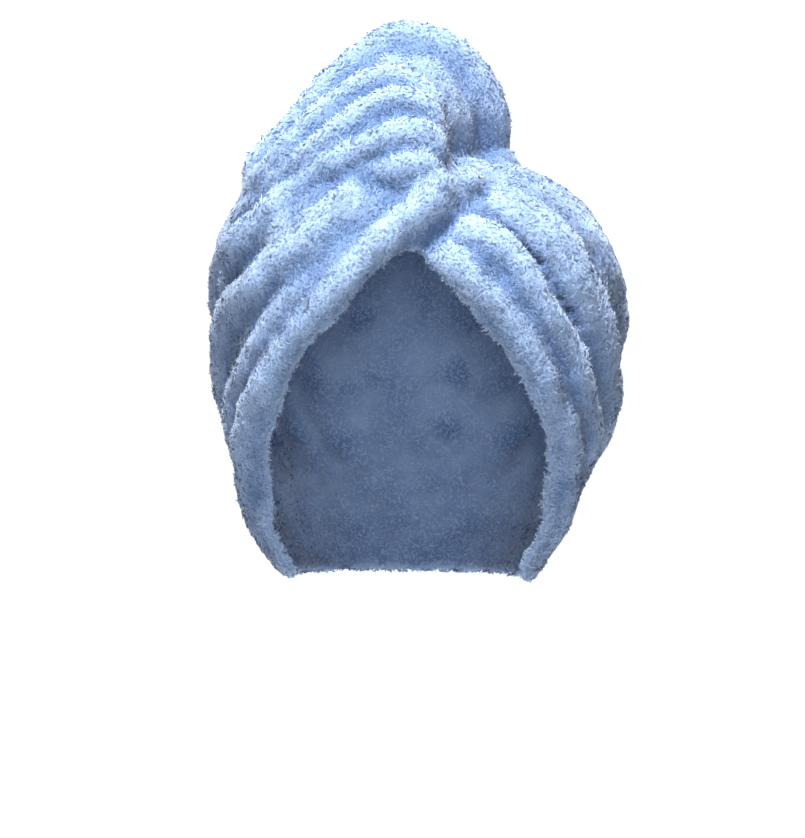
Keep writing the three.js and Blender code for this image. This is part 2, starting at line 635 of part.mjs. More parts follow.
// Loop: a round elastic that goes round the shank, with its far end at the tip of the tail
function loopForm() {
  const narrow = SHANK_RADIUS + GAP + CORD_RADIUS;
  const tip = tailPoint(1, 180).sub(napePoint);
  const upward = new THREE.Vector3(0, -1, 0).applyQuaternion(napeTurn);
  const reach = tip.dot(upward) - CORD_RADIUS - LOOP_SHORT;
  const half = (reach + narrow) / 2;
  const ring = new THREE.TorusGeometry(half, CORD_RADIUS, 8, 36);
  const positions = ring.attributes.position;
  for (let index = 0; index < positions.count; index += 1) {
    const out = Math.hypot(positions.getX(index), positions.getY(index)) - half;
    const turn = Math.atan2(positions.getY(index), positions.getX(index));
    const wide = LOOP_HALF_WIDTH + out;
    positions.setX(index, wide * Math.cos(turn));
    positions.setY(index, narrow - half - (half + out) * Math.sin(turn));
  }
  ring.translate(0, 0, GAP + SHANK_LENGTH / 2);
  return atNape(ring);
}

const group = new THREE.Group();
group.name = 'hair_turban_towel';
group.add(meshOf('hood', hood, 0x86a9d3, 1));
group.add(meshOf('twisted_tail', tail, 0x86a9d3, 1));
group.add(meshOf('nape_button', solid(buttonForm()), 0x9db4cf, 0.45));
group.add(meshOf('elastic_loop', solid(loopForm()), 0xdfe6ee, 0.8));

export default group;
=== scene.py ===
# %% [markdown]
# # A terry hair turban
#
# The real thing is one fluffy towelling cloth, sewn into a hood with a long tail. It is put on
# bending forward: the tail is twisted round the wet hair, laid back over the crown and buttoned at
# the nape. This lesson builds that cloth in the frame of the CAD part: first its smooth form, then its
# folds, then the solid cloth, and last the pile of the towelling, tuft by tuft.
#
# The lengths below are in millimetres, as in the part's own source, and become metres in the mesh.

import itertools
import math

import bmesh
import bpy
import numpy as np
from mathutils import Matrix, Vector, noise


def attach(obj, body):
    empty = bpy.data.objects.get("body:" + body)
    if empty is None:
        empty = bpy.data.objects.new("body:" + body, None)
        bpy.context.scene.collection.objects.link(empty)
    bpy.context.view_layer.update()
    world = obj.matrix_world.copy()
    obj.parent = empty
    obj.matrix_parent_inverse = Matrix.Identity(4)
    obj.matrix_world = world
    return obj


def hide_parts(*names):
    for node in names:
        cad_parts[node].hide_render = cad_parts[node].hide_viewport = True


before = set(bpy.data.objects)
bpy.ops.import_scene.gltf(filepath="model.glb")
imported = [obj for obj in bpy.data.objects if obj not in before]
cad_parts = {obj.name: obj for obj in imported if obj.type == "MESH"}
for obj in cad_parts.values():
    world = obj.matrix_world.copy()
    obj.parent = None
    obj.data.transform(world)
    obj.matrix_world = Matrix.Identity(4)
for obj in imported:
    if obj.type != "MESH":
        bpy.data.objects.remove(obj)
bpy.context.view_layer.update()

# %% [markdown]
# ## Sizes
#
# The named sizes are those of the CAD source, so that the cloth lands on the CAD solid. The tables
# hold shares of them: a row is one section of the skirt or of the tail, or one point of the front
# edges. Only PILE, RELIEF and SINK are this scene's own, as soft cloth is fluffier and has deeper
# creases than the solid.

# %% Named sizes and tables
LEFT_WIDTH, RIGHT_WIDTH, FRONT_DEPTH, BACK_DEPTH = 86.0, 91.0, 93.0, 104.0
WALL, CROWN_RISE, SKIRT_DROP = 3.0, 78.0, 113.0
CROWN_POWER, PLAN_POWER = 2.3, 2.2
TAIL_RISE, TAIL_WIDTH, HOLLOW_WALL = 56.0, 110.0, 6.0
FOLD_HALF, FOLD_HEIGHT, FOLD_BLEND = 12.0, 8.0, 1.2
PILE = 1.6  # how far the ground of the cloth lies under the tips of its pile
RELIEF, SINK = 1.35, 1.4  # folds are steeper than in the CAD solid, and start lower by SINK
MM = 0.001

# shares of the drop below the widest level, of the half width left and right, of the depth
SKIRT = np.array([
    (0.00, 1.000, 1.000, 1.00),
    (0.22, 0.976, 0.977, 1.00),
    (0.44, 0.944, 0.900, 0.97),
    (0.62, 0.844, 0.785, 0.92),
    (0.80, 0.828, 0.714, 0.86),
    (0.93, 0.757, 0.622, 0.80),
    (1.00, 0.674, 0.580, 0.76),
])

# level (0 crown, 1 widest, 2 lower edge), left and right front edge in degrees from the front
HEM = np.array([
    (0.765, -2.0, -2.0), (0.80, -6.0, 2.0),
    (0.84, -9.5, 4.0), (0.89, -12.5, 6.5),
    (0.99, -21.0, 14.0), (1.09, -32.5, 22.0),
    (1.20, -39.5, 28.0), (1.28, -43.5, 32.5),
    (1.38, -49.5, 40.0), (1.49, -57.5, 48.0),
    (1.61, -66.5, 56.0), (1.76, -73.0, 64.0),
    (1.87, -75.0, 69.0), (2.00, -78.0, 74.0),
])

# run, side, back, up, left, right, over, low, under, left power, right power
TAIL = np.array([
    (0.00, 0.036, -0.63, -0.716, 0.121, 0.086, 0.208, 0.287, 0.210, 1.9, 2.0),
    (0.05, 0.016, -0.58, -0.596, 0.290, 0.124, 0.445, 0.862, 0.360, 1.7, 2.0),
    (0.12, -0.034, -0.48, -0.396, 0.476, 0.163, 0.633, 1.206, 0.460, 1.5, 2.1),
    (0.20, -0.084, -0.35, -0.216, 0.542, 0.239, 0.761, 1.436, 0.540, 1.4, 2.3),
    (0.30, -0.084, -0.12, -0.076, 0.394, 0.383, 0.939, 1.494, 0.540, 1.4, 2.5),
    (0.42, -0.084, 0.17, -0.076, 0.361, 0.393, 0.900, 1.321, 0.500, 1.5, 2.4),
    (0.54, -0.081, 0.48, -0.249, 0.304, 0.356, 0.762, 0.964, 0.460, 1.8, 2.2),
    (0.66, -0.040, 0.75, -0.633, 0.296, 0.306, 0.638, 0.575, 0.430, 2.0, 2.1),
    (0.76, -0.010, 0.94, -1.110, 0.250, 0.250, 0.520, 0.430, 0.430, 2.0, 2.0),
    (0.85, 0.000, 1.02, -1.640, 0.200, 0.200, 0.410, 0.390, 0.390, 2.0, 2.0),
    (0.93, 0.000, 0.99, -2.110, 0.150, 0.150, 0.300, 0.320, 0.320, 2.0, 2.0),
    (0.98, 0.000, 0.95, -2.360, 0.100, 0.100, 0.200, 0.200, 0.200, 2.0, 2.0),
    (1.00, 0.000, 0.94, -2.450, 0.040, 0.040, 0.080, 0.080, 0.080, 2.0, 2.0),
])
RUN, SIDE, BACK, UP, LEFT, RIGHT, OVER, LOW, UNDER, POWER_LEFT, POWER_RIGHT = range(11)
print("sections of the tail:", len(TAIL), "points of each front edge:", len(HEM))

# %% [markdown]
# ## Folds
#
# The photo's ribs, traced as short paths. A point `h` is a place on the hood (degrees from the
# front, level), a point `t` one on the tail (run, degrees round it). Each fold has its half width
# and its height as shares of the thickest roll, and a height below nought is a groove. A swelling
# is a broad, low fold. The knot's filling and the right shoulder are in this scene alone.

# %% The folds of the cloth
FOLDS = {
    "top_roll": (1.0, 1.0, "h -150 1.70, h -128 1.25, h -108 0.95, h -92 0.72, h -82 0.56,"
                 "t 0.22 -86, t 0.25 -72, t 0.28 -52, t 0.30 -30, t 0.31 0, t 0.31 30, t 0.31 60,"
                 "t 0.33 90, t 0.36 115"),
    "second_roll": (0.72, 0.8, "h -104 0.98, h -92 0.76, h -83 0.62, t 0.16 -86, t 0.17 -67,"
                    "t 0.195 -45, t 0.21 -18, t 0.205 0, t 0.195 14, t 0.185 28, t 0.17 40"),
    "third_roll": (0.74, 0.85, "h -135 1.62, h -112 1.22, h -92 0.90, h -77 0.71, h -57 0.59,"
                   "t 0.12 -81, t 0.125 -65, t 0.145 -40, t 0.165 -16, t 0.17 3, t 0.165 18,"
                   "t 0.15 30, t 0.13 42"),
    "fourth_roll": (0.74, 0.85, "h -86 1.00, h -72 0.84, h -60 0.76, h -49 0.67, h -40 0.57,"
                    "t 0.09 -68, t 0.095 -45, t 0.11 -17, t 0.115 0, t 0.11 21, t 0.10 39"),
    "fifth_roll": (0.78, 0.75, "h -120 1.85, h -104 1.50, h -86 1.18, h -70 0.98, h -55 0.92,"
                   "h -42 0.83, h -32 0.77, h -25.5 0.68, h -19 0.615, t 0.055 -52, t 0.06 -21,"
                   "t 0.065 4, t 0.07 30"),
    "sixth_roll": (0.72, 0.55, "h -95 1.90, h -84 1.58, h -71 1.28, h -55.5 1.16, h -43 1.01,"
                   "h -32 0.93, h -23 0.86, h -15.5 0.77, h -7.5 0.695, h -1.5 0.615, t 0.03 0"),
    "crossing_roll": (1.0, 0.95, "h -88 1.90, h -80 1.75, h -72 1.59, h -60 1.44, h -49 1.28,"
                      "h -37 1.13, h -28 1.00, h -19 0.92, h -12 0.83, h -6 0.74, h 0 0.65,"
                      "h 8 0.565, h 17 0.47"),
    "knot_filling": (2.1, 0.62, "h -50 0.80, h -38 0.76, h -26 0.71, h -15 0.67, h -5 0.64, h 4 0.58"),
    "crossing_groove": (0.5, -0.7, "h 1 0.79, h 4 0.735, h 8 0.67, h 13 0.60, h 19 0.54,"
                        "h 26 0.49"),
    "right_edge_fold": (0.8, 0.6, "h 2 0.76, h 7.5 0.83, h 14.5 0.92, h 23 1.01, h 31 1.14,"
                        "h 39 1.29, h 50 1.43, h 62 1.59, h 71 1.74, h 80 1.92"),
    "right_middle_fold": (0.9, 0.6, "h 11 0.62, h 19.5 0.735, h 27 0.85, h 34 0.97, h 43 1.10,"
                          "h 51.5 1.26, h 62.5 1.40, h 73 1.60, h 86 1.88"),
    "right_outer_fold": (1.1, 0.5, "h 24 0.50, h 35.5 0.62, h 45 0.76, h 54 0.92, h 64 1.08,"
                         "h 76 1.26, h 92 1.52, h 110 1.85"),
    "right_side_fold": (1.1, 0.4, "h 60 0.62, h 78 0.84, h 96 1.10, h 116 1.42, h 138 1.80"),
    "right_back_fold": (1.1, 0.45, "h 104 0.66, h 120 0.95, h 137 1.28, h 155 1.62"),
    "left_back_fold": (1.1, 0.45, "h -122 0.72, h -134 0.98, h -148 1.28, h -160 1.58"),
    "forehead_groove": (0.55, -0.5, "h 12 0.55, h 20.5 0.635, h 26 0.70, h 31 0.77, h 36 0.87,"
                        "h 42 0.96, h 52 1.08"),
}
SWELLS = {
    "left_shoulder": (2.5, 0.65, "h -72 0.76, h -60 0.70, h -46 0.62, h -30 0.56, h -12 0.48"),
    "crown_front": (2.0, 0.4, "h -8 0.55, h 6 0.46, h 20 0.38"),
    "right_shoulder": (2.4, 0.35, "h 40 0.40, h 62 0.50, h 84 0.58, h 106 0.66"),
}
TWIST_FIRST, TWIST_PITCH, TWIST_COUNT, TWIST_SLANT, TWIST_END = 0.405, 0.083, 7, 0.035, 0.97
TWIST_HALF, TWIST_HALF_MOST = 0.34, 0.95  # shares of the tail's half width there, and of FOLD_HALF
TWIST_HIGH, TWIST_HIGH_MOST = 0.26, 0.8  # the same for the height
HEM_HALF, HEM_HIGH = 0.45, 0.26
TURN_DEPTH, TURN_REACH = 5.0, 12.0  # how far the cloth is turned in along the front edges
print("traced folds:", len(FOLDS), "swellings:", len(SWELLS), "folds of the twist:", TWIST_COUNT)

# %% [markdown]
# ## The smooth form
#
# Under its folds the hood is a full dome over a skirt that narrows to the neck. It could be
# sculpted, but a formula gives the same place in the CAD source and here. A place on it is named
# by the degrees from the front and a level: 0 at the crown, 1 where it is widest, 2 at its edge.

# %% Places on the smooth hood
def hood_point(degrees, level):
    degrees, level = np.broadcast_arrays(np.asarray(degrees, float), np.asarray(level, float))
    turn = np.radians(degrees)
    dip = np.clip(level, 0, 1) * np.pi / 2
    dome = np.sin(dip) ** (2 / CROWN_POWER)
    drop = np.clip(level - 1, 0, 1)
    left = LEFT_WIDTH * np.interp(drop, SKIRT[:, 0], SKIRT[:, 1])
    right = RIGHT_WIDTH * np.interp(drop, SKIRT[:, 0], SKIRT[:, 2])
    deep = dome * np.interp(drop, SKIRT[:, 0], SKIRT[:, 3])
    height = WALL - CROWN_RISE + CROWN_RISE * abs(np.cos(dip)) ** (2 / CROWN_POWER)
    height = np.where(level > 1, WALL - CROWN_RISE - SKIRT_DROP * drop, height)
    side, front = np.sin(turn), np.cos(turn)
    depth = np.where(front > 0, FRONT_DEPTH, BACK_DEPTH)
    x = dome * np.where(side < 0, left, right) * np.sign(side) * abs(side) ** (2 / PLAN_POWER)
    y = -depth * deep * np.sign(front) * abs(front) ** (2 / PLAN_POWER)
    return np.stack([x, y, height], -1)


def unit(vectors):
    return vectors / np.maximum(np.linalg.norm(vectors, axis=-1, keepdims=True), 1e-9)


def hood_normal(degrees, level):
    step = 0.02
    level = np.asarray(level, float)
    held = np.clip(level, step, 2 - step)
    across = hood_point(degrees + 1, held) - hood_point(degrees - 1, held)
    down = hood_point(degrees, held + step) - hood_point(degrees, held - step)
    out = unit(np.cross(down, across))
    return np.where((level < step)[..., None] + 0 * out > 0, np.array([0.0, 0.0, 1.0]), out)


print("hood, mm wide:", LEFT_WIDTH + RIGHT_WIDTH)

# %% [markdown]
# The tail is a run of sections from the forehead over the crown and down to the nape. Its left
# shoulder is nearly straight, as in the photo, and its right one full and round, so each section
# has its own reach to every side. The rows of the table are joined smoothly, without a kink.

# %% Places on the smooth tail
TAIL_STEP = 0.002  # share of the run over which the tail's direction is taken


def eased(column, run):
    """Smooth value of a column of TAIL: a cubic with the rows' own mean slopes."""
    runs, values = TAIL[:, RUN], TAIL[:, column]
    slopes = np.empty_like(values)
    slopes[1:-1] = (values[2:] - values[:-2]) / (runs[2:] - runs[:-2])
    slopes[0] = (values[1] - values[0]) / (runs[1] - runs[0])
    slopes[-1] = (values[-1] - values[-2]) / (runs[-1] - runs[-2])
    run = np.clip(run, 0, 1)
    low = np.clip(np.searchsorted(runs, run, side="left") - 1, 0, len(runs) - 2)
    span = runs[low + 1] - runs[low]
    t = (run - runs[low]) / span
    start = 2 * t**3 - 3 * t**2 + 1
    bend = (t**3 - 2 * t**2 + t) * span * slopes[low] + (t**3 - t**2) * span * slopes[low + 1]
    return start * values[low] + (1 - start) * values[low + 1] + bend


def tail_centre(run):
    run = np.asarray(run, float)
    return np.stack([TAIL_WIDTH * eased(SIDE, run), BACK_DEPTH * eased(BACK, run),
                     TAIL_RISE * eased(UP, run)], -1)


def tail_outward(run):
    """The way from the tail's middle line up and away from the hood, across the run."""
    ahead, behind = np.minimum(run + TAIL_STEP, 1), np.maximum(run - TAIL_STEP, 0)
    along = tail_centre(ahead) - tail_centre(behind)
    return unit(np.stack([0 * run, -along[..., 2], along[..., 1]], -1))


def tail_point(run, degrees, inset=0.0):
    run, degrees = np.broadcast_arrays(np.asarray(run, float), np.asarray(degrees, float))
    outward = tail_outward(run)
    side, over = np.sin(np.radians(degrees)), np.cos(np.radians(degrees))
    width = TAIL_WIDTH * np.where(side < 0, eased(LEFT, run), eased(RIGHT, run))
    lower = np.where(side < 0, eased(LOW, run), eased(UNDER, run))
    height = TAIL_RISE * np.where(over > 0, eased(OVER, run), lower)
    power = np.where(side < 0, eased(POWER_LEFT, run), eased(POWER_RIGHT, run))
    power = np.where(over > 0, power, 2.0)
    reach = ((abs(side) / width) ** power + (abs(over) / height) ** power) ** (-1 / power)
    radius = np.maximum(reach - inset, 0.5)[..., None]
    sideways = np.array([1.0, 0.0, 0.0])
    return tail_centre(run) + radius * (outward * over[..., None] + sideways * side[..., None])


print("top of the tail, mm:", tail_point(0.31, 0).round(1))

# %% [markdown]
# ## How high the folds stand
#
# A fold is a smooth line in space with a round cross-section. Real towelling folds like this
# because it is thick: it rolls over instead of creasing. The twist goes on along the back of the
# tail as a row of equal slanting folds, which a loop makes.

# %% Lines of the folds
def path_points(text):
    points = []
    for word in text.split(","):
        where, first, second = word.split()
        place = hood_point if where == "h" else tail_point
        points.append(place(float(first), float(second)))
    return np.array(points)


def smooth_line(points, steps=14):
    """A curve through the points, centripetal so that it doesn't swing out between them."""
    ends = np.vstack([2 * points[0] - points[1], points, 2 * points[-1] - points[-2]])
    knots = np.concatenate([[0], np.cumsum(np.linalg.norm(np.diff(ends, axis=0), axis=1) ** 0.5)])
    line = []
    for i in range(1, len(ends) - 2):
        for share in np.linspace(0, 1, steps, endpoint=False):
            t = knots[i] + share * (knots[i + 1] - knots[i])
            row, near = list(ends[i - 1:i + 3]), knots[i - 1:i + 3]
            for width in (1, 2, 3):
                row = [((near[j + width] - t) * row[j] + (t - near[j]) * row[j + 1])
                       / (near[j + width] - near[j]) for j in range(len(row) - 1)]
            line.append(row[0])
    return np.array(line + [points[-1]])


def fold_line(half, high, points):
    line = smooth_line(points)
    share = np.linspace(0, 1, len(line))
    fade = np.minimum(1, np.minimum(6 * share + 0.1, 6 * (1 - share) + 0.25))
    return line, FOLD_HALF * half, FOLD_HEIGHT * high * fade


def twist_fold(order):
    run = TWIST_FIRST + TWIST_PITCH * order
    size = TAIL_WIDTH * np.interp(run, TAIL[:, RUN], TAIL[:, LEFT]) / FOLD_HALF
    shares = np.array([-1.2, -1, -0.6, 0, 0.6, 1, 1.2])
    turns = np.array([-125, -90, -50, 0, 50, 90, 125])
    points = tail_point(np.minimum(run + TWIST_SLANT * shares, TWIST_END), turns)
    return fold_line(min(TWIST_HALF_MOST, TWIST_HALF * size),
                     min(TWIST_HIGH_MOST, TWIST_HIGH * size), points)


fold_lines = [fold_line(half, high, path_points(path)) for half, high, path in FOLDS.values()]
fold_lines += [twist_fold(order) for order in range(TWIST_COUNT)]
hem_lines = [fold_line(HEM_HALF, HEM_HIGH, hood_point(HEM[:, side], HEM[:, 0])) for side in (1, 2)]
fold_lines += hem_lines
swell_lines = [fold_line(half, high, path_points(path)) for half, high, path in SWELLS.values()]
print("folds:", len(fold_lines), "longest, mm:",
      round(max(np.linalg.norm(np.diff(line, axis=0), axis=1).sum() for line, _, _ in fold_lines)))

# %% [markdown]
# The cloth at a place stands off the smooth form by the highest fold there, so two rolls that touch
# leave a crease between them, which FOLD_BLEND rounds a little. A groove is pressed in only where
# no fold stands, and a swelling comes on top. Along the front edges the cloth turns
# inwards, as a hem does.

# %% Height of the cloth at a place
BATCH = 20000  # places compared with a line at a time, which saves memory


def nearest(places, line, half):
    """For each place near the line: its index, how far it is as a share of half, the line's point."""
    low, high = line.min(0) - half, line.max(0) + half
    near = np.flatnonzero(((places > low) & (places < high)).all(1))
    if not len(near):
        return near, near, near
    apart = np.empty(len(near))
    which = np.empty(len(near), int)
    for start in range(0, len(near), BATCH):
        part = places[near[start:start + BATCH]]
        gap = ((part[:, None, :] - line[None, :, :]) ** 2).sum(-1)
        which[start:start + BATCH] = gap.argmin(1)
        apart[start:start + BATCH] = np.sqrt(gap.min(1))
    inside = apart < half
    return near[inside], apart[inside] / half, which[inside]


def fold_height(places):
    """How far the cloth stands off the smooth form at each place, mm."""
    ridge, groove = np.zeros(len(places)), np.zeros(len(places))
    for line, half, high in fold_lines:
        near, share, which = nearest(places, line, half)
        here = high[which] * (1 - share**2)
        if high.mean() > 0:
            mix = np.maximum(FOLD_BLEND - abs(ridge[near] - here), 0) / FOLD_BLEND
            ridge[near] = np.maximum(ridge[near], here) + mix**2 * FOLD_BLEND / 4
        else:
            groove[near] = np.minimum(groove[near], here)
    swell = np.zeros(len(places))
    for line, half, high in swell_lines:
        near, share, which = nearest(places, line, half)
        swell[near] += high[which] * (1 - share**2) ** 2
    folds = ridge + groove * np.clip(1 - ridge / FOLD_HEIGHT, 0, 1)
    return RELIEF * folds - SINK + swell


def hem_turn(places):
    """How far the cloth is turned inwards along the front edges, mm."""
    share = np.ones(len(places))
    for line, half, high in hem_lines:
        near, apart, which = nearest(places, line, TURN_REACH)
        share[near] = np.minimum(share[near], apart)
    return TURN_DEPTH * (1 - share) ** 2


print("height of the top roll, mm:", fold_height(tail_point(0.31, 0)[None, :]).round(1))

# %% [markdown]
# ## Meshes from grids
#
# Each body is a grid of rows and columns. Corners at the same place are welded, so a grid that
# shrinks to a pole or meets itself at the back closes without special cases.

# %% Helpers that turn grids into closed meshes
def new_piece(name, mesh):
    piece = bpy.data.objects.new(name, mesh)
    bpy.context.scene.collection.objects.link(piece)
    return piece


def grid_faces(rows, columns, start=0, flip=False):
    a = (np.arange(rows - 1)[:, None] * columns + np.arange(columns - 1)[None, :]).ravel() + start
    faces = np.stack([a, a + 1, a + columns + 1, a + columns], -1)
    return faces[:, ::-1] if flip else faces


def closed_mesh(name, points, faces):
    """A closed mesh in metres from points in mm, welded and with its faces outward."""
    mesh = bpy.data.meshes.new(name)
    mesh.from_pydata((points * MM).tolist(), [], [list(face) for face in faces])
    shape = bmesh.new()
    shape.from_mesh(mesh)
    bmesh.ops.remove_doubles(shape, verts=shape.verts, dist=2e-6)
    bmesh.ops.dissolve_degenerate(shape, edges=shape.edges, dist=1e-7)
    bmesh.ops.recalc_face_normals(shape, faces=shape.faces)
    if shape.calc_volume(signed=True) < 0:
        bmesh.ops.reverse_faces(shape, faces=shape.faces)
    loose = sum(1 for edge in shape.edges if len(edge.link_faces) != 2)
    shape.to_mesh(mesh)
    shape.free()
    print(name, "faces:", len(mesh.polygons), "open edges:", loose)
    return mesh


def shown_mesh(piece):
    """Give the piece the mesh that its modifiers make of it, and clear them."""
    mesh = bpy.data.meshes.new_from_object(
        piece.evaluated_get(bpy.context.evaluated_depsgraph_get()))
    piece.modifiers.clear()
    piece.data = mesh
    return mesh


def combine(base, other, how):
    """Join or cut a piece with another one, which is then gone."""
    step = base.modifiers.new(how, "BOOLEAN")
    step.operation, step.object, step.solver = how, other, "MANIFOLD"
    shown_mesh(base)
    bpy.data.objects.remove(other)

# %% [markdown]
# ## The cloth
#
# The hood's shell is a grid from the right front edge round the back to the left one, outside and
# inside, closed along its edges. Above the point of the arch the first and last column meet. The
# inside goes along with the folds only half way, as it is pressed smooth in wear.

# %% The hood's shell
HOOD_ROWS, HOOD_COLUMNS = 131, 345
ROW_CROWDING, FRONT_SHARE = 0.07, 0.35  # rows are closer at the widest level, columns in front
INNER_FACE = -WALL - PILE - SINK  # the inside of the wall, from the smooth form
FOLLOW, FOLLOW_MOST = 0.5, 6.0  # how far the inside goes along with a fold, and up to what height


def hood_degrees(levels, shares):
    left = np.interp(levels, HEM[:, 0], HEM[:, 1])[:, None]
    right = np.interp(levels, HEM[:, 0], HEM[:, 2])[:, None]
    shares = shares[None, :]
    near = right + (90 - right) * shares / FRONT_SHARE
    far = 270 + (90 + left) * (shares - 1 + FRONT_SHARE) / FRONT_SHARE
    middle = 90 + 180 * (shares - FRONT_SHARE) / (1 - 2 * FRONT_SHARE)
    return np.where(shares <= FRONT_SHARE, near, np.where(shares >= 1 - FRONT_SHARE, far, middle))


def hood_shell():
    rows = np.linspace(0, 1, HOOD_ROWS)
    levels = 2 * (rows + ROW_CROWDING * np.sin(2 * np.pi * rows))
    point = int(abs(levels - HEM[0, 0]).argmin())
    levels[point] = HEM[0, 0]
    degrees = hood_degrees(levels, np.linspace(0, 1, HOOD_COLUMNS))
    grid_levels = np.repeat(levels[:, None], HOOD_COLUMNS, 1)
    base = hood_point(degrees, grid_levels)
    normal = hood_normal(degrees, grid_levels)
    height = fold_height(base.reshape(-1, 3)).reshape(HOOD_ROWS, HOOD_COLUMNS)[..., None]
    turned = hem_turn(base.reshape(-1, 3)).reshape(HOOD_ROWS, HOOD_COLUMNS)[..., None]
    outer = base + normal * (height - PILE - turned)
    lift = height + SINK
    inner = base + normal * (INNER_FACE + FOLLOW * np.clip(lift, 0, FOLLOW_MOST)
                             + np.minimum(lift, 0) - turned)
    for grid in (outer, inner):
        grid[:point + 1, -1] = grid[:point + 1, 0]
        grid[0, :] = grid[0, 0]
    count = HOOD_ROWS * HOOD_COLUMNS
    faces = [grid_faces(HOOD_ROWS, HOOD_COLUMNS), grid_faces(HOOD_ROWS, HOOD_COLUMNS, count, True)]
    index = np.arange(count).reshape(HOOD_ROWS, HOOD_COLUMNS)
    for edge in (index[point:, 0], index[point:, -1][::-1], index[-1, :]):
        faces.append(np.stack([edge[:-1], edge[1:], edge[1:] + count, edge[:-1] + count], -1))
    points = np.vstack([outer.reshape(-1, 3), inner.reshape(-1, 3)])
    return closed_mesh("hood", points, np.vstack(faces))


cloth = new_piece("terry_cloth", hood_shell())

# %% [markdown]
# The tail is a closed form over the hood, and so is its hollow, which lies further in. Each is a
# grid of sections with a cap at both ends. A plain closed hood serves as the tool that later cuts
# away what would lie inside the hood.

# %% Closed forms of the tail and of the hood
COLUMN_CROWDING = 0.4  # columns are closer low down, where the tail reaches far from its middle


def capped(points, rows, columns, caps):
    """Faces of a grid whose first and last row are closed by a fan round an added middle point."""
    faces = [list(face) for face in grid_faces(rows, columns)]
    for row, middle in zip((0, rows - 1), caps):
        points = np.vstack([points, middle])
        last, start = len(points) - 1, row * columns
        faces += [[start + i, start + i + 1, last] for i in range(columns - 1)]
    return points, faces


def closed_hood(offset, rows=61, columns=121):
    levels = np.repeat(np.linspace(0, 2, rows)[:, None], columns, 1)
    degrees = np.repeat(np.linspace(0, 360, columns)[None, :], rows, 0)
    grid = hood_point(degrees, levels) + offset * hood_normal(degrees, levels)
    grid[:, -1] = grid[:, 0]
    grid[0, :] = grid[0, 0]
    caps = (grid[0, 0], grid[-1, :-1].mean(0))
    return closed_mesh("hood form", *capped(grid.reshape(-1, 3), rows, columns, caps))


def tail_form(runs, columns, inset=0.0):
    rows = len(runs)
    turn = np.linspace(0, 2 * np.pi, columns)
    degrees = np.degrees(turn - COLUMN_CROWDING * np.sin(turn)) - 180
    grid = tail_point(runs[:, None], degrees[None, :], inset)
    centre = tail_centre(runs)[:, None, :]
    if inset == 0:
        height = fold_height(grid.reshape(-1, 3)).reshape(rows, columns)[..., None]
        grid = grid + unit(grid - centre) * (height - PILE)
    grid[:, -1] = grid[:, 0]
    caps = (centre[0, 0], centre[-1, 0])
    return closed_mesh("tail", *capped(grid.reshape(-1, 3), rows, columns, caps))


TAIL_CLOSE, TAIL_ROWS = 0.36, 90  # the sections are closer up to this share of the run
tail_runs = np.concatenate([np.linspace(0, TAIL_CLOSE, TAIL_ROWS)[:-1],
                            np.linspace(TAIL_CLOSE, 1, TAIL_ROWS)])
tail = new_piece("tail", tail_form(tail_runs, 121))

# %% [markdown]
# What lies of the tail in the hood is cut away, the tail is hollowed and joined to the hood, and a
# way is cut from the hood's inside up into it, as in the real thing, where the hair goes through.

# %% Join the tail to the hood and open it
HOLLOW_FROM, HOLLOW_TO = 0.10, 0.80  # shares of the run
MOUTH_RUN, MOUTH_INSET = 0.22, HOLLOW_WALL + 14
MOUTH_ACROSS, MOUTH_DEEP = 17, 12  # half widths, mm
MOUTH_WAY = np.array([0, 10, -45.0])  # from the hollow down into the hood, mm


def mouth_duct(top, bottom, sides=25):
    turn = np.linspace(0, 2 * np.pi, sides)
    ring = np.stack([MOUTH_ACROSS * np.cos(turn), MOUTH_DEEP * np.sin(turn), 0 * turn], -1)
    grid = np.stack([top + ring, bottom + ring])
    grid[:, -1] = grid[:, 0]
    return closed_mesh("mouth", *capped(grid.reshape(-1, 3), 2, sides, (top, bottom)))


combine(tail, new_piece("under", closed_hood(-WALL - SINK)), "DIFFERENCE")
hollow = new_piece("hollow", tail_form(np.linspace(HOLLOW_FROM, HOLLOW_TO, 40), 49, HOLLOW_WALL))
combine(hollow, new_piece("over", closed_hood(WALL / 2)), "DIFFERENCE")
combine(cloth, tail, "UNION")
combine(cloth, hollow, "DIFFERENCE")
mouth_top = tail_point(MOUTH_RUN, 0, MOUTH_INSET)
combine(cloth, new_piece("mouth", mouth_duct(mouth_top, mouth_top + MOUTH_WAY)), "DIFFERENCE")
print("cloth faces after joining:", len(cloth.data.polygons))

# %% [markdown]
# A remesh gives the joined cloth even facets and rounds the creases where the tail leaves the hood.
# Then small uneven dents are pressed into it, because no fold of a thick towel is perfectly smooth.

# %% Even the cloth out and wrinkle it
VOXEL = 0.0025
DENTS = ((0.016, 0.0012), (0.007, 0.0006))  # size and depth, m


def vertex_numbers(mesh):
    """Vertex places and normals as arrays."""
    places, normals = (np.empty(len(mesh.vertices) * 3, np.float32) for _ in range(2))
    mesh.vertices.foreach_get("co", places)
    mesh.vertices.foreach_get("normal", normals)
    return places.reshape(-1, 3), normals.reshape(-1, 3)


def wrinkled(mesh):
    """Press soft random dents into the mesh."""
    places, normals = vertex_numbers(mesh)
    lift = np.zeros(len(places))
    for size, depth in DENTS:
        lift += depth * np.array([noise.noise(Vector(place) / size) for place in places])
    moved = places + normals * lift[:, None]
    mesh.vertices.foreach_set("co", moved.astype(np.float32).ravel())
    mesh.update()


remesh = cloth.modifiers.new("even", "REMESH")
remesh.mode, remesh.voxel_size, remesh.use_smooth_shade = "VOXEL", VOXEL, True
soften = cloth.modifiers.new("soften", "SMOOTH")
soften.factor, soften.iterations = 0.5, 2
cloth_mesh = shown_mesh(cloth)
cloth_mesh.name = "terry_cloth"
wrinkled(cloth_mesh)
print("cloth faces:", len(cloth_mesh.polygons))

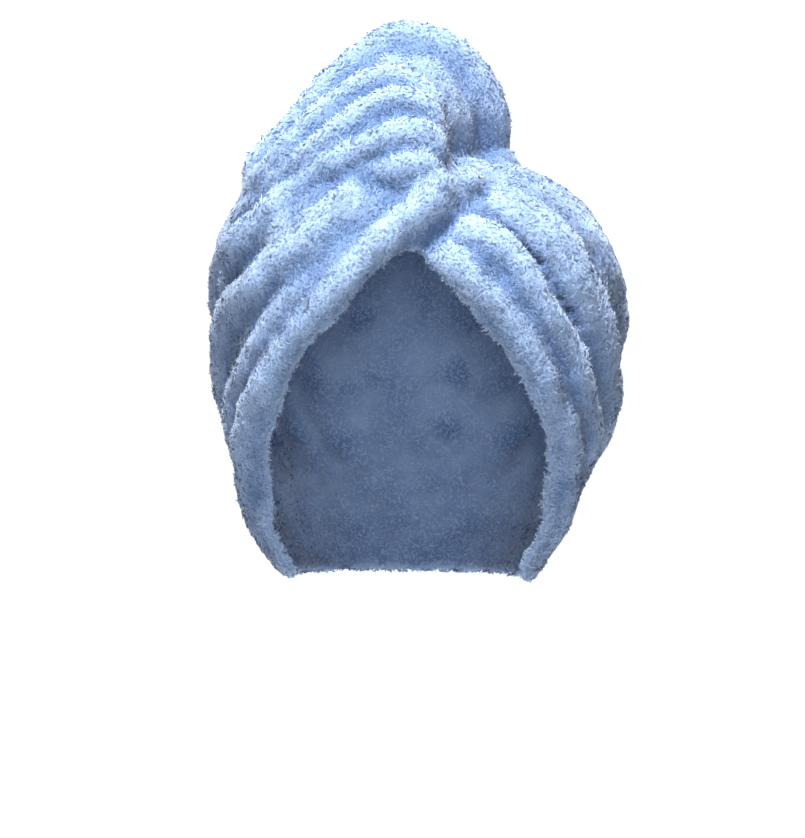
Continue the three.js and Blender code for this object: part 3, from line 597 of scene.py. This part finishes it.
# %% [markdown]
# ## Ridges and valleys
#
# The ridges of the cloth catch the light, pale and full, and its valleys lie in deep blue shade.
# Ambient occlusion could tell them apart, but only at render time. So the shade is painted into the
# colour: the cloth is compared with a blurred copy of itself, and what stands proud of the copy is a
# ridge. The painted shade of the pile and its length follow this relief.

# %% Relief of the cloth
RELIEF_ROUNDS, RELIEF_DEEP = 70, 0.0012  # how far the copy is blurred, and a full ridge in metres
# painted shade: the turned-in cloth along the front edges is darkened as a valley is, and its tufts are
# shorter
TURN_SHADE = 1.6  # a turned-in edge counts as a valley by this much


def averaged(mesh, values, rounds):
    """Vertex values averaged with their neighbours' many times over, which blurs them."""
    edges = np.empty(len(mesh.edges) * 2, np.int32)
    mesh.edges.foreach_get("vertices", edges)
    first, second = edges.reshape(-1, 2).T
    count = len(mesh.vertices)
    links = np.maximum(np.bincount(first, minlength=count) + np.bincount(second, minlength=count), 1)
    values = values.astype(float).reshape(count, -1)
    for _ in range(rounds):
        around = np.stack([np.bincount(first, column[second], count)
                           + np.bincount(second, column[first], count)
                           for column in values.T], 1)
        values = 0.5 * values + 0.5 * around / links[:, None]
    return values


def relief(mesh):
    """-1 in the valleys of the cloth, 1 on its ridges, 0 where it is even, for each vertex."""
    places, normals = vertex_numbers(mesh)
    # painted shade: this relief darkens the pile and the ground cloth in the valleys
    proud = ((places - averaged(mesh, places, RELIEF_ROUNDS)) * normals).sum(1)
    proud -= averaged(mesh, proud, 2 * RELIEF_ROUNDS)[:, 0]
    # painted shade: turned-in edges count as valleys
    turned = hem_turn(places / MM) / TURN_DEPTH
    return np.clip(proud / RELIEF_DEEP - TURN_SHADE * turned, -1, 1)


cloth_relief = relief(cloth_mesh)
print("in valleys:", round(float((cloth_relief < -0.5).mean()), 3),
      "on ridges:", round(float((cloth_relief > 0.5).mean()), 3))

# %% [markdown]
# The area and the volume of the cloth say how thick it came out. The area is also what the flat
# size of the sheet was chosen by.

# %% Measure the cloth
cloth_shape = bmesh.new()
cloth_shape.from_mesh(cloth_mesh)
cloth_area = sum(face.calc_area() for face in cloth_shape.faces)
cloth_volume = cloth_shape.calc_volume()
cloth_shape.free()
print("area, m2:", round(cloth_area, 4), "volume, litres:", round(cloth_volume * 1000, 3),
      "thickness, mm:", round(2000 * cloth_volume / cloth_area, 2))

# %% [markdown]
# ## Materials
#
# Every tuft of the pile takes its colour from one small rule: how far up the tuft the point is, and how
# pale that tuft is. Both are in the tuft's own map, so one shader group serves all the pile. The colour
# is a painted highlight at the tip and a painted shade at the root, and how pale a tuft is holds
# painted shade too: in the valleys the colour is multiplied by a deeper blue-grey. The cloth under the
# pile follows the same rule with a little deeper colours, a painted shade, as little light gets down
# there.

# %% Shader group for the colour of a tuft
PILE_MAP = "OFBake"


def colour(red, green, blue):
    """Linear colour from sRGB numbers of 0 to 255."""
    return tuple(((v / 255 + 0.055) / 1.055) ** 2.4 if v > 10 else v / 3294.6
                 for v in (red, green, blue)) + (1.0,)


def shader_group(name, inputs, outputs):
    group = bpy.data.node_groups.new(name, "ShaderNodeTree")
    for label, kind, value in inputs:
        socket = group.interface.new_socket(label, in_out="INPUT", socket_type=kind)
        socket.default_value = value
    for label, kind in outputs:
        group.interface.new_socket(label, in_out="OUTPUT", socket_type=kind)
    return group, group.nodes.new("NodeGroupInput"), group.nodes.new("NodeGroupOutput")


def tuft_colour_group():
    """Root to Tip colour up the tuft, painted shade at the root and painted highlight at the tip, then
    towards the painted Shadow by the tuft's shade.
    """
    group, given, found = shader_group(
        "tuft colour",
        [("Root", "NodeSocketColor", colour(132, 160, 202)),
         ("Tip", "NodeSocketColor", colour(184, 208, 238)),
         ("Shadow", "NodeSocketColor", colour(126, 158, 198))],
        [("Color", "NodeSocketColor")])
    nodes, links = group.nodes, group.links
    places = nodes.new("ShaderNodeUVMap")
    places.uv_map = PILE_MAP
    parts = nodes.new("ShaderNodeSeparateXYZ")
    links.new(places.outputs["UV"], parts.inputs[0])
    up = nodes.new("ShaderNodeMix")
    up.data_type = "RGBA"
    links.new(parts.outputs["Y"], up.inputs["Factor"])
    links.new(given.outputs["Root"], up.inputs["A"])
    links.new(given.outputs["Tip"], up.inputs["B"])
    shade = nodes.new("ShaderNodeMix")
    shade.data_type = "RGBA"
    links.new(parts.outputs["X"], shade.inputs["Factor"])
    links.new(given.outputs["Shadow"], shade.inputs["A"])
    shade.inputs["B"].default_value = (1.0, 1.0, 1.0, 1.0)
    tint = nodes.new("ShaderNodeMix")
    tint.data_type, tint.blend_type = "RGBA", "MULTIPLY"
    tint.inputs["Factor"].default_value = 1.0
    links.new(up.outputs["Result"], tint.inputs["A"])
    links.new(shade.outputs["Result"], tint.inputs["B"])
    links.new(tint.outputs["Result"], found.inputs["Color"])
    return group


TUFT_COLOUR = tuft_colour_group()
print("shader group:", TUFT_COLOUR.name, "with", len(TUFT_COLOUR.nodes), "nodes")

# %% [markdown]
# Cotton pile is quite dull, with a soft gleam where it is seen at a slant, so the terry has full
# roughness and some sheen. The button is satin plastic and the loop dull elastic.

# %% Materials of the terry, the button and the loop
def material(name, base, roughness=0.9, sheen=0.0):
    made = bpy.data.materials.new(name)
    made.use_nodes = True
    shader = made.node_tree.nodes["Principled BSDF"]
    shader.inputs["Base Color"].default_value = base
    shader.inputs["Roughness"].default_value = roughness
    shader.inputs["Specular IOR Level"].default_value = 0.15
    shader.inputs["Sheen Weight"].default_value = sheen
    shader.inputs["Sheen Roughness"].default_value = 0.6
    return made


def pile_material(name, root, tip, shadow):
    made = material(name, tip, roughness=1.0, sheen=0.25)
    tree = made.node_tree
    node = tree.nodes.new("ShaderNodeGroup")
    node.node_tree = TUFT_COLOUR
    node.inputs["Root"].default_value = root
    node.inputs["Tip"].default_value = tip
    node.inputs["Shadow"].default_value = shadow
    tree.links.new(node.outputs["Color"], tree.nodes["Principled BSDF"].inputs["Base Color"])
    return made


# painted shade: the valleys of the cloth multiply its colour by this deeper blue-grey
VALLEY_PAINTED_SHADE = colour(146, 168, 194)  # what the valleys of the cloth multiply its colour by
terry_cloth_blue = pile_material("terry_ground", colour(122, 150, 192), colour(174, 198, 230), VALLEY_PAINTED_SHADE)
terry_pile_blue = pile_material("terry_pile", colour(132, 160, 202), colour(182, 206, 238), VALLEY_PAINTED_SHADE)
# the inside gets a paler colour here, so less painted shade in its valleys
terry_inside_blue = pile_material(
    "terry_inside", colour(138, 162, 198), colour(176, 197, 226), colour(186, 202, 222))
button_plastic = material("button_plastic", colour(160, 182, 208), roughness=0.4)
elastic_white = material("elastic_cord", colour(222, 230, 238), roughness=0.85)
cloth_mesh.materials.clear()
cloth_mesh.materials.append(terry_cloth_blue)
print("materials:", [made.name for made in bpy.data.materials])

# %% [markdown]
# The ground cloth gets the same kind of map as a tuft. Its shade is the relief, a painted shade, so
# that the ground is deep blue in the valleys and never shines through the pile there.

# %% Map of the ground cloth
SHADE_LEAST, SHADE_MOST = 0.03, 0.97  # keeps every shade inside the map
GROUND_SHADE, GROUND_UP = 0.55, 0.3  # the even cloth, and how far up a tuft its colour is


def map_ground(mesh, proud):
    """The cloth under the pile takes a painted shade from its relief, low down the tuft colours."""
    corner_vertices = np.empty(len(mesh.loops), np.int32)
    mesh.loops.foreach_get("vertex_index", corner_vertices)
    # painted shade: the ground is darker in the valleys and lighter on the ridges
    shade = np.clip(GROUND_SHADE + 0.4 * proud[corner_vertices], SHADE_LEAST, SHADE_MOST)
    up = GROUND_UP + 0.02 * (np.arange(len(corner_vertices)) % 4 > 1)  # no face without an area
    layer = mesh.uv_layers.new(name=PILE_MAP)
    layer.data.foreach_set("uv", np.stack([shade, up], -1).astype(np.float32).ravel())


map_ground(cloth_mesh, cloth_relief)
print("ground map:", cloth_mesh.uv_layers[PILE_MAP].name)

# %% [markdown]
# ## The sides of the cloth
#
# The pile is long outside, pressed flat inside by wear, and never seen in the hollow of the
# tail. The remesh has lost which face was which, so the smooth forms tell: a face inside the hood's
# form that looks inwards is the inside. The broad direction of the cloth counts here, as a
# single dent may look anywhere.

# %% Tell the sides of the cloth apart
MIDDLE_LOW, MIDDLE_HIGH = -150, -60  # the upright line in the hood that inwards means, mm
TAIL_NEAR, HOLLOW_DEEP = 10, -2.5  # from the tail's smooth form, mm
INSIDE_SHARE, OUTSIDE_SHARE = 1.06, 0.97  # of the hood's smooth form


def hood_share(places):
    """1 on the hood's smooth form, less inside it, more outside it. places in mm."""
    x, y, z = places.T
    top = WALL - CROWN_RISE
    drop = np.clip((top - z) / SKIRT_DROP, 0, 1)
    rise = np.clip((z - top) / CROWN_RISE, 0, 1)
    dome = np.where(z > top, (1 - np.clip(rise ** CROWN_POWER, 0, 1)) ** (1 / CROWN_POWER), 1)
    left = LEFT_WIDTH * np.interp(drop, SKIRT[:, 0], SKIRT[:, 1])
    right = RIGHT_WIDTH * np.interp(drop, SKIRT[:, 0], SKIRT[:, 2])
    wide = np.maximum(dome * np.where(x < 0, left, right), 0.001)
    deep = np.where(y < 0, FRONT_DEPTH, BACK_DEPTH)
    deep = np.maximum(deep * dome * np.interp(drop, SKIRT[:, 0], SKIRT[:, 3]), 0.001)
    found = (abs(x) / wide) ** PLAN_POWER + (abs(y) / deep) ** PLAN_POWER
    return np.where(z > WALL, 9.0, found)


def tail_gap(places, normals):
    """How far outside the tail's smooth form, mm, and whether the cloth there faces its middle."""
    runs = np.linspace(0, 1, 160)
    centres = tail_centre(runs)
    gaps, inward = np.empty(len(places)), np.empty(len(places), bool)
    for start in range(0, len(places), BATCH):
        chosen = slice(start, start + BATCH)
        part = places[chosen]
        apart = ((part[:, None, 1:] - centres[None, :, 1:]) ** 2).sum(-1)
        run = runs[apart.argmin(1)]
        away = part - tail_centre(run)
        degrees = np.degrees(np.arctan2(away[:, 0], (away * tail_outward(run)).sum(1)))
        reach = np.linalg.norm(tail_point(run, degrees) - tail_centre(run), axis=1)
        gaps[chosen] = np.linalg.norm(away, axis=1) - reach
        inward[chosen] = (away * normals[chosen]).sum(1) < 0
    return gaps, inward


def side_of_cloth(places, normals):
    """0 outside of the hood, 1 outside of the tail, 2 inside of the hood, 3 hollow of the tail."""
    spots = places / MM
    within = hood_share(spots)
    middle = np.array([0, 0, 1.0]) * np.clip(spots[:, 2:3], MIDDLE_LOW, MIDDLE_HIGH)
    facing_in = (normals * (spots - middle)).sum(1) < 0
    gap, facing_hair = tail_gap(spots, normals)
    found = np.where(gap < TAIL_NEAR, 1, 0)
    found[(within < INSIDE_SHARE) & facing_in] = 2
    found[(gap < HOLLOW_DEEP) & facing_hair & (within >= OUTSIDE_SHARE)] = 3
    return found


# %% [markdown]
# Every triangle of the cloth gets its side and its area once, for all the pieces of the pile.

# %% Measure the sides of the cloth
cloth_mesh.calc_loop_triangles()
face_corners = np.empty(len(cloth_mesh.loop_triangles) * 3, np.int32)
cloth_mesh.loop_triangles.foreach_get("vertices", face_corners)
face_corners = face_corners.reshape(-1, 3)
cloth_places, cloth_normals = vertex_numbers(cloth_mesh)
face_middles = cloth_places[face_corners].mean(1)
broad_normals = unit(averaged(cloth_mesh, cloth_normals, 25))
face_normals = unit(broad_normals[face_corners].mean(1))
face_areas = np.linalg.norm(np.cross(
    cloth_places[face_corners[:, 1]] - cloth_places[face_corners[:, 0]],
    cloth_places[face_corners[:, 2]] - cloth_places[face_corners[:, 0]]), axis=1) / 2
face_sides = side_of_cloth(face_middles.astype(float), face_normals.astype(float))
for side, label in enumerate(("hood outside", "tail outside", "hood inside", "tail hollow")):
    print(label, "m2:", round(float(face_areas[face_sides == side].sum()), 4))
print("cloth triangles:", len(face_corners))

# %% [markdown]
# ## The pile
#
# Towelling is a ground cloth with loops of yarn pulled through it, here worn open into soft curly
# tufts. Hair curves could make them. Here each tuft is a short bent leaf of two triangles in one
# plain mesh, so that its length, lean and shade can follow the relief of the cloth: 3.4 mm long and
# two to four on a square millimetre outside, shorter and fewer inside. First the roots are spread
# over the cloth by chance, evenly by area.

# %% Where tufts stand on the cloth
def spread_points(count, seed, keep):
    """count random places on the faces to keep, with their normals and relief, and the area."""
    chance = np.random.default_rng(seed)
    area = face_areas * keep
    steps = (np.arange(count) + chance.random(count)) / count * area.sum()
    which = np.searchsorted(np.cumsum(area), steps).clip(0, len(area) - 1)
    r, s = np.sqrt(chance.random((count, 1))), chance.random((count, 1))
    mix = (1 - r, r * (1 - s), r * s)
    corners = face_corners[which]
    spots = sum(share * cloth_places[corners[:, i]] for i, share in enumerate(mix))
    out = sum(share * cloth_normals[corners[:, i]] for i, share in enumerate(mix))
    proud = sum(share[:, 0] * cloth_relief[corners[:, i]] for i, share in enumerate(mix))
    return spots, unit(out), proud, area.sum()

# %% [markdown]
# Washed pile isn't even. Neighbours lean alike over a stretch of cloth, and their tips gather in
# small clumps. The clumps are cells of a grid whose middles are shifted by a fixed rule, so they
# look scattered and still come out the same at every run.

# %% How neighbouring tufts lean and gather
CLUMP, DRIFT = 0.0034, 0.007  # sizes of a clump and of a stretch that leans alike, m


def drift(places, size, seed):
    """Directions that change slowly over the cloth, so that neighbouring tufts lean alike."""
    spots = places / size + seed * 7.31
    waves = [(1.0, 2.3, 0.7), (2.1, -1.2, 1.9), (-1.7, 0.9, 2.6), (2.9, 1.6, -1.1)]
    found = np.zeros_like(places)
    for i, wave in enumerate(waves):
        phase = spots @ np.array(wave)
        found += np.stack([np.sin(phase + i), np.sin(1.3 * phase + 2 * i), np.cos(phase * 0.8 + i)], -1)
    return unit(found)


def clumps(spots, size):
    """Way to the middle of the nearest clump, as a share of size, and that clump's own shade."""
    cells = np.floor(spots / size)
    toward, shade = np.full_like(spots, 9.0), np.zeros(len(spots))
    for step in itertools.product((-1, 0, 1), repeat=3):
        corner = cells + step
        mixed = np.sin(corner @ np.array([[12.99, 39.35, 73.16], [78.23, 11.14, 52.24],
                                          [37.72, 83.16, 9.15]])) * 43758.5
        mixed -= np.floor(mixed)
        way = corner + mixed - spots / size
        closer = (way**2).sum(1) < (toward**2).sum(1)
        toward[closer] = way[closer]
        shade[closer] = mixed[closer].mean(1)
    return toward, shade

# %% [markdown]
# A leaf has a root corner, two corners at its bend and one at its tip. It leans by the stretch, by its
# clump and by its own chance, is longer on a ridge and shorter at the edge of a clump. Its colour holds
# painted shade: darker in the valleys and at the edge of a clump, with its clump's own tone and a
# little chance on top. Its normals are those of the cloth, bent a little with the leaf, so that the
# pile is lit as one soft surface and not as loose chips.

# %% The leaves of the pile
LEAN_ALIKE, LEAN_OWN, LEAN_TO_CLUMP = 0.5, 0.65, 0.6
CLUMP_EDGE = 0.7  # how far from its middle a clump ends, as a share of CLUMP
ROOT_DEPTH = 0.0002  # how deep a root sits in the ground cloth, m


def leaf_corners(spots, normals, lean, long, wide, curl, chance):
    """The four corners of every leaf, and which way its lower half goes."""
    count = len(spots)
    steep = 0.25 + 0.5 * chance.random((count, 1))
    rise = unit(steep * normals + lean)
    swing = np.cross(normals, lean) * chance.normal(size=(count, 1)) * 1.3 * curl
    bend = unit((steep - 0.7 * curl * chance.random((count, 1))) * normals + 0.8 * lean + swing)
    long = long * (0.7 + 0.5 * chance.random(count))
    long = long[:, None]
    wide = wide * (0.75 + 0.5 * chance.random((count, 1))) / 2
    across = unit(np.cross(rise, normals) + 0.35 * normals * chance.normal(size=(count, 1)))
    root = spots - normals * ROOT_DEPTH
    knee = root + rise * long * 0.5
    tip = knee + bend * long * 0.5
    return np.stack([root, knee + across * wide, knee - across * wide, tip], 1), rise


def leaf_mesh(name, points, shade, outward):
    """One mesh of two triangles a leaf, with its shade and height up the tuft as its map."""
    count = len(points)
    base = (np.arange(count) * 4)[:, None]
    corners = np.concatenate([base + np.array([0, 1, 2]), base + np.array([2, 1, 3])], 1)
    mesh = bpy.data.meshes.new(name)
    mesh.vertices.add(count * 4)
    mesh.vertices.foreach_set("co", points.reshape(-1, 3).astype(np.float32).ravel())
    mesh.loops.add(count * 6)
    mesh.loops.foreach_set("vertex_index", corners.astype(np.int32).ravel())
    mesh.polygons.add(count * 2)
    mesh.polygons.foreach_set("loop_start", (np.arange(count * 2) * 3).astype(np.int32))
    mesh.polygons.foreach_set("use_smooth", np.ones(count * 2, bool))
    side = np.array([0, 1, -1, -1, 1, 0]) * 0.012
    up = np.array([0.02, 0.5, 0.5, 0.5, 0.5, 0.98])
    places = np.stack([shade[:, None] + side, np.broadcast_to(up, (count, 6))], -1)
    layer = mesh.uv_layers.new(name=PILE_MAP)
    layer.data.foreach_set("uv", places.astype(np.float32).ravel())
    mesh.update(calc_edges=True)
    mesh.normals_split_custom_set_from_vertices(np.repeat(outward, 4, 0).astype(np.float32).tolist())
    return mesh


def tufts(name, spots, normals, proud, length, width, seed, curl, finish):
    """A piece of pile: one bent leaf at each spot."""
    chance = np.random.default_rng(seed)
    toward, clump_shade = clumps(spots, CLUMP)
    edge = np.clip(np.linalg.norm(toward, axis=1) / CLUMP_EDGE, 0, 1)
    own = chance.normal(size=spots.shape)
    along = LEAN_ALIKE * drift(spots, DRIFT, seed) + LEAN_OWN * own + LEAN_TO_CLUMP * toward
    lean = unit(along - normals * (along * normals).sum(1, keepdims=True))
    long = length * (1.12 - 0.3 * edge + 0.18 * proud)
    points, rise = leaf_corners(spots, normals, lean, long, width, curl, chance)
    # painted shade: darker in the valleys (proud) and at the edge of a clump; the clump's shade and the
    # chance are random tone
    shade = 0.6 + 0.4 * proud + 0.18 * (0.5 - edge) + 0.14 * (clump_shade - 0.5)
    shade = np.clip(shade + 0.05 * chance.normal(size=len(spots)), SHADE_LEAST, SHADE_MOST)
    mesh = leaf_mesh(name, points, shade, unit(normals + 0.3 * rise))
    mesh.materials.append(finish)
    return new_piece(name, mesh)

# %% [markdown]
# The pile is grown in five pieces: two halves of the hood, its back, the tail, and the inside,
# which shows through the opening for the face and has shorter tufts, pressed flat by wear.

# %% Grow the pile
BACK_FROM = 0.035  # where the back of the hood begins, m behind the origin


def pile(name, count, seed, chosen, length=0.0034, width=0.00064, curl=1.0,
         finish=terry_pile_blue, folds=1):
    """Tufts on the cloth faces for which chosen(places, sides) is true."""
    keep = chosen(face_middles, face_sides)
    spots, normals, proud, area = spread_points(count, seed, keep)
    print(name, "tufts:", count, "per mm2:", round(count / area / 1e6, 2))
    return tufts(name, spots, normals, folds * proud, length, width, seed, curl, finish)


def part_of_hood(places, sides):
    back = places[:, 1] > BACK_FROM
    return np.where(sides == 0, np.where(back, 2, np.where(places[:, 0] < 0, 0, 1)), 9)


pile_pieces = [
    pile("pile_hood_left", 88000, 11, lambda p, s: part_of_hood(p, s) == 0),
    pile("pile_hood_right", 84000, 12, lambda p, s: part_of_hood(p, s) == 1),
    pile("pile_hood_back", 86000, 13, lambda p, s: part_of_hood(p, s) == 2),
    pile("pile_tail", 99000, 14, lambda p, s: s == 1),
    pile("pile_inside", 62000, 15, lambda p, s: s == 2, length=0.0029, width=0.00105, curl=1.3,
         finish=terry_inside_blue, folds=0.3),
]

# %% [markdown]
# ## Button and loop
#
# A plain round button with a rim, and a round elastic cord that goes round its shank. They are
# small and hidden at the back, so the CAD solids are kept and get their finish.

# %% Finish of the button and the loop
for node, finish, place in (("nape_button", button_plastic, "button"),
                            ("elastic_loop", elastic_white, "elastic")):
    piece = bpy.data.objects[node]
    piece.data.materials.clear()
    piece.data.materials.append(finish)
    print(node, "finish:", finish.name)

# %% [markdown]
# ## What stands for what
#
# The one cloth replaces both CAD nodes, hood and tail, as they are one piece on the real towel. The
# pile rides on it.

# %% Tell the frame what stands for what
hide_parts("hood", "twisted_tail")
for piece in [cloth, *pile_pieces]:
    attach(piece, "root")
print("pieces of the cloth:", [piece.name for piece in (cloth, *pile_pieces)])

# %% [markdown]
# ## Studio
#
# A pale floor that runs up into a wall behind, far enough below that no shadow of the towel shows
# on it. The photo's soft light comes from above. A wide softbox would fill the creases, so the
# lights have a narrow spread, and a weak one from the front opens the shadows. The paper glows a
# little, so that it stays pale without more lamps.

# %% Floor and lights
FLOOR_BELOW, FLOOR_BEND, FLOOR_END = 0.8, 0.8, 2.2  # m
PAPER_GLOW, ROOM_LIGHT = 0.30, 0.10
LIGHTS = (  # name, place, target, size in metres, watts, spread in degrees
    ("key", (-0.25, -0.95, 1.45), (-0.01, -0.05, 0.03), (0.6, 0.6), 3.0, 25),
    ("top", (0.35, 0.05, 1.5), (0, 0, 0), (0.9, 0.8), 1.5, 30),
    ("front", (0, -1.7, -0.05), (0, 0, -0.1), (0.5, 0.5), 0.45, 30),
    ("wall_wash", (0, 1.6, 2.2), (0, 3.0, 0.2), (5.0, 1.0), 88, 180),
)


def sweep():
    """A floor that curves up into a wall behind, as one sheet."""
    depth = [(-3.0, 0.0), (FLOOR_END, 0.0)]
    depth += [(FLOOR_END + FLOOR_BEND * math.sin(t), FLOOR_BEND - FLOOR_BEND * math.cos(t))
              for t in np.linspace(0.1, math.pi / 2, 12)]
    depth += [(FLOOR_END + FLOOR_BEND, 4.0)]
    points = [(x, y, z - FLOOR_BELOW) for y, z in depth for x in (-4.0, 4.0)]
    faces = [(2 * i, 2 * i + 1, 2 * i + 3, 2 * i + 2) for i in range(len(depth) - 1)]
    mesh = bpy.data.meshes.new("sweep")
    mesh.from_pydata(points, [], faces)
    mesh.shade_smooth()
    return new_piece("sweep", mesh)


def area_light(name, place, target, size, power, spread):
    light = bpy.data.lights.new(name, "AREA")
    light.shape, light.size, light.size_y = "RECTANGLE", size[0], size[1]
    light.energy, light.spread = power, math.radians(spread)
    lamp = new_piece(name, light)
    lamp.location = place
    lamp.rotation_euler = (Vector(target) - Vector(place)).to_track_quat("-Z", "Y").to_euler()
    return lamp


floor = sweep()
paper = material("paper_white", (0.9, 0.9, 0.9, 1.0), roughness=1.0)
paper.node_tree.nodes["Principled BSDF"].inputs["Emission Color"].default_value = (1, 1, 1, 1)
paper.node_tree.nodes["Principled BSDF"].inputs["Emission Strength"].default_value = PAPER_GLOW
floor.data.materials.append(paper)
world = bpy.data.worlds.new("studio")
world.use_nodes = True
world.node_tree.nodes["Background"].inputs[0].default_value = (0.92, 0.96, 1.0, 1.0)
world.node_tree.nodes["Background"].inputs[1].default_value = ROOM_LIGHT
bpy.context.scene.world = world
[area_light(*row) for row in LIGHTS]
print("lights:", [row[0] for row in LIGHTS])

# %% [markdown]
# ## Camera
#
# The camera stands level in front, as the photo's did. Its lens follows from the scale of the
# photo, and its place from the pixel at which the part's origin lies there.

# %% Camera of the photo's view
PHOTO_WIDE, PHOTO_HIGH, MM_PER_PIXEL = 805, 838, 0.44
ORIGIN_COLUMN, ORIGIN_ROW = 416, 155  # the part's origin in the photo, pixels
CAMERA_AWAY, SENSOR = 1.5, 36.0  # m, mm
lens = bpy.data.cameras.new("photo_camera")
lens.sensor_width = SENSOR
lens.lens = SENSOR * CAMERA_AWAY / (PHOTO_HIGH * MM_PER_PIXEL * MM)
camera = new_piece("photo_camera", lens)
camera.location = ((PHOTO_WIDE / 2 - ORIGIN_COLUMN) * MM_PER_PIXEL * MM, -CAMERA_AWAY,
                   (ORIGIN_ROW - PHOTO_HIGH / 2) * MM_PER_PIXEL * MM)
camera.rotation_euler = (math.pi / 2, 0, 0)
bpy.context.scene.camera = camera
bpy.context.scene.view_settings.view_transform = "Standard"
print("lens, mm:", round(lens.lens, 1))
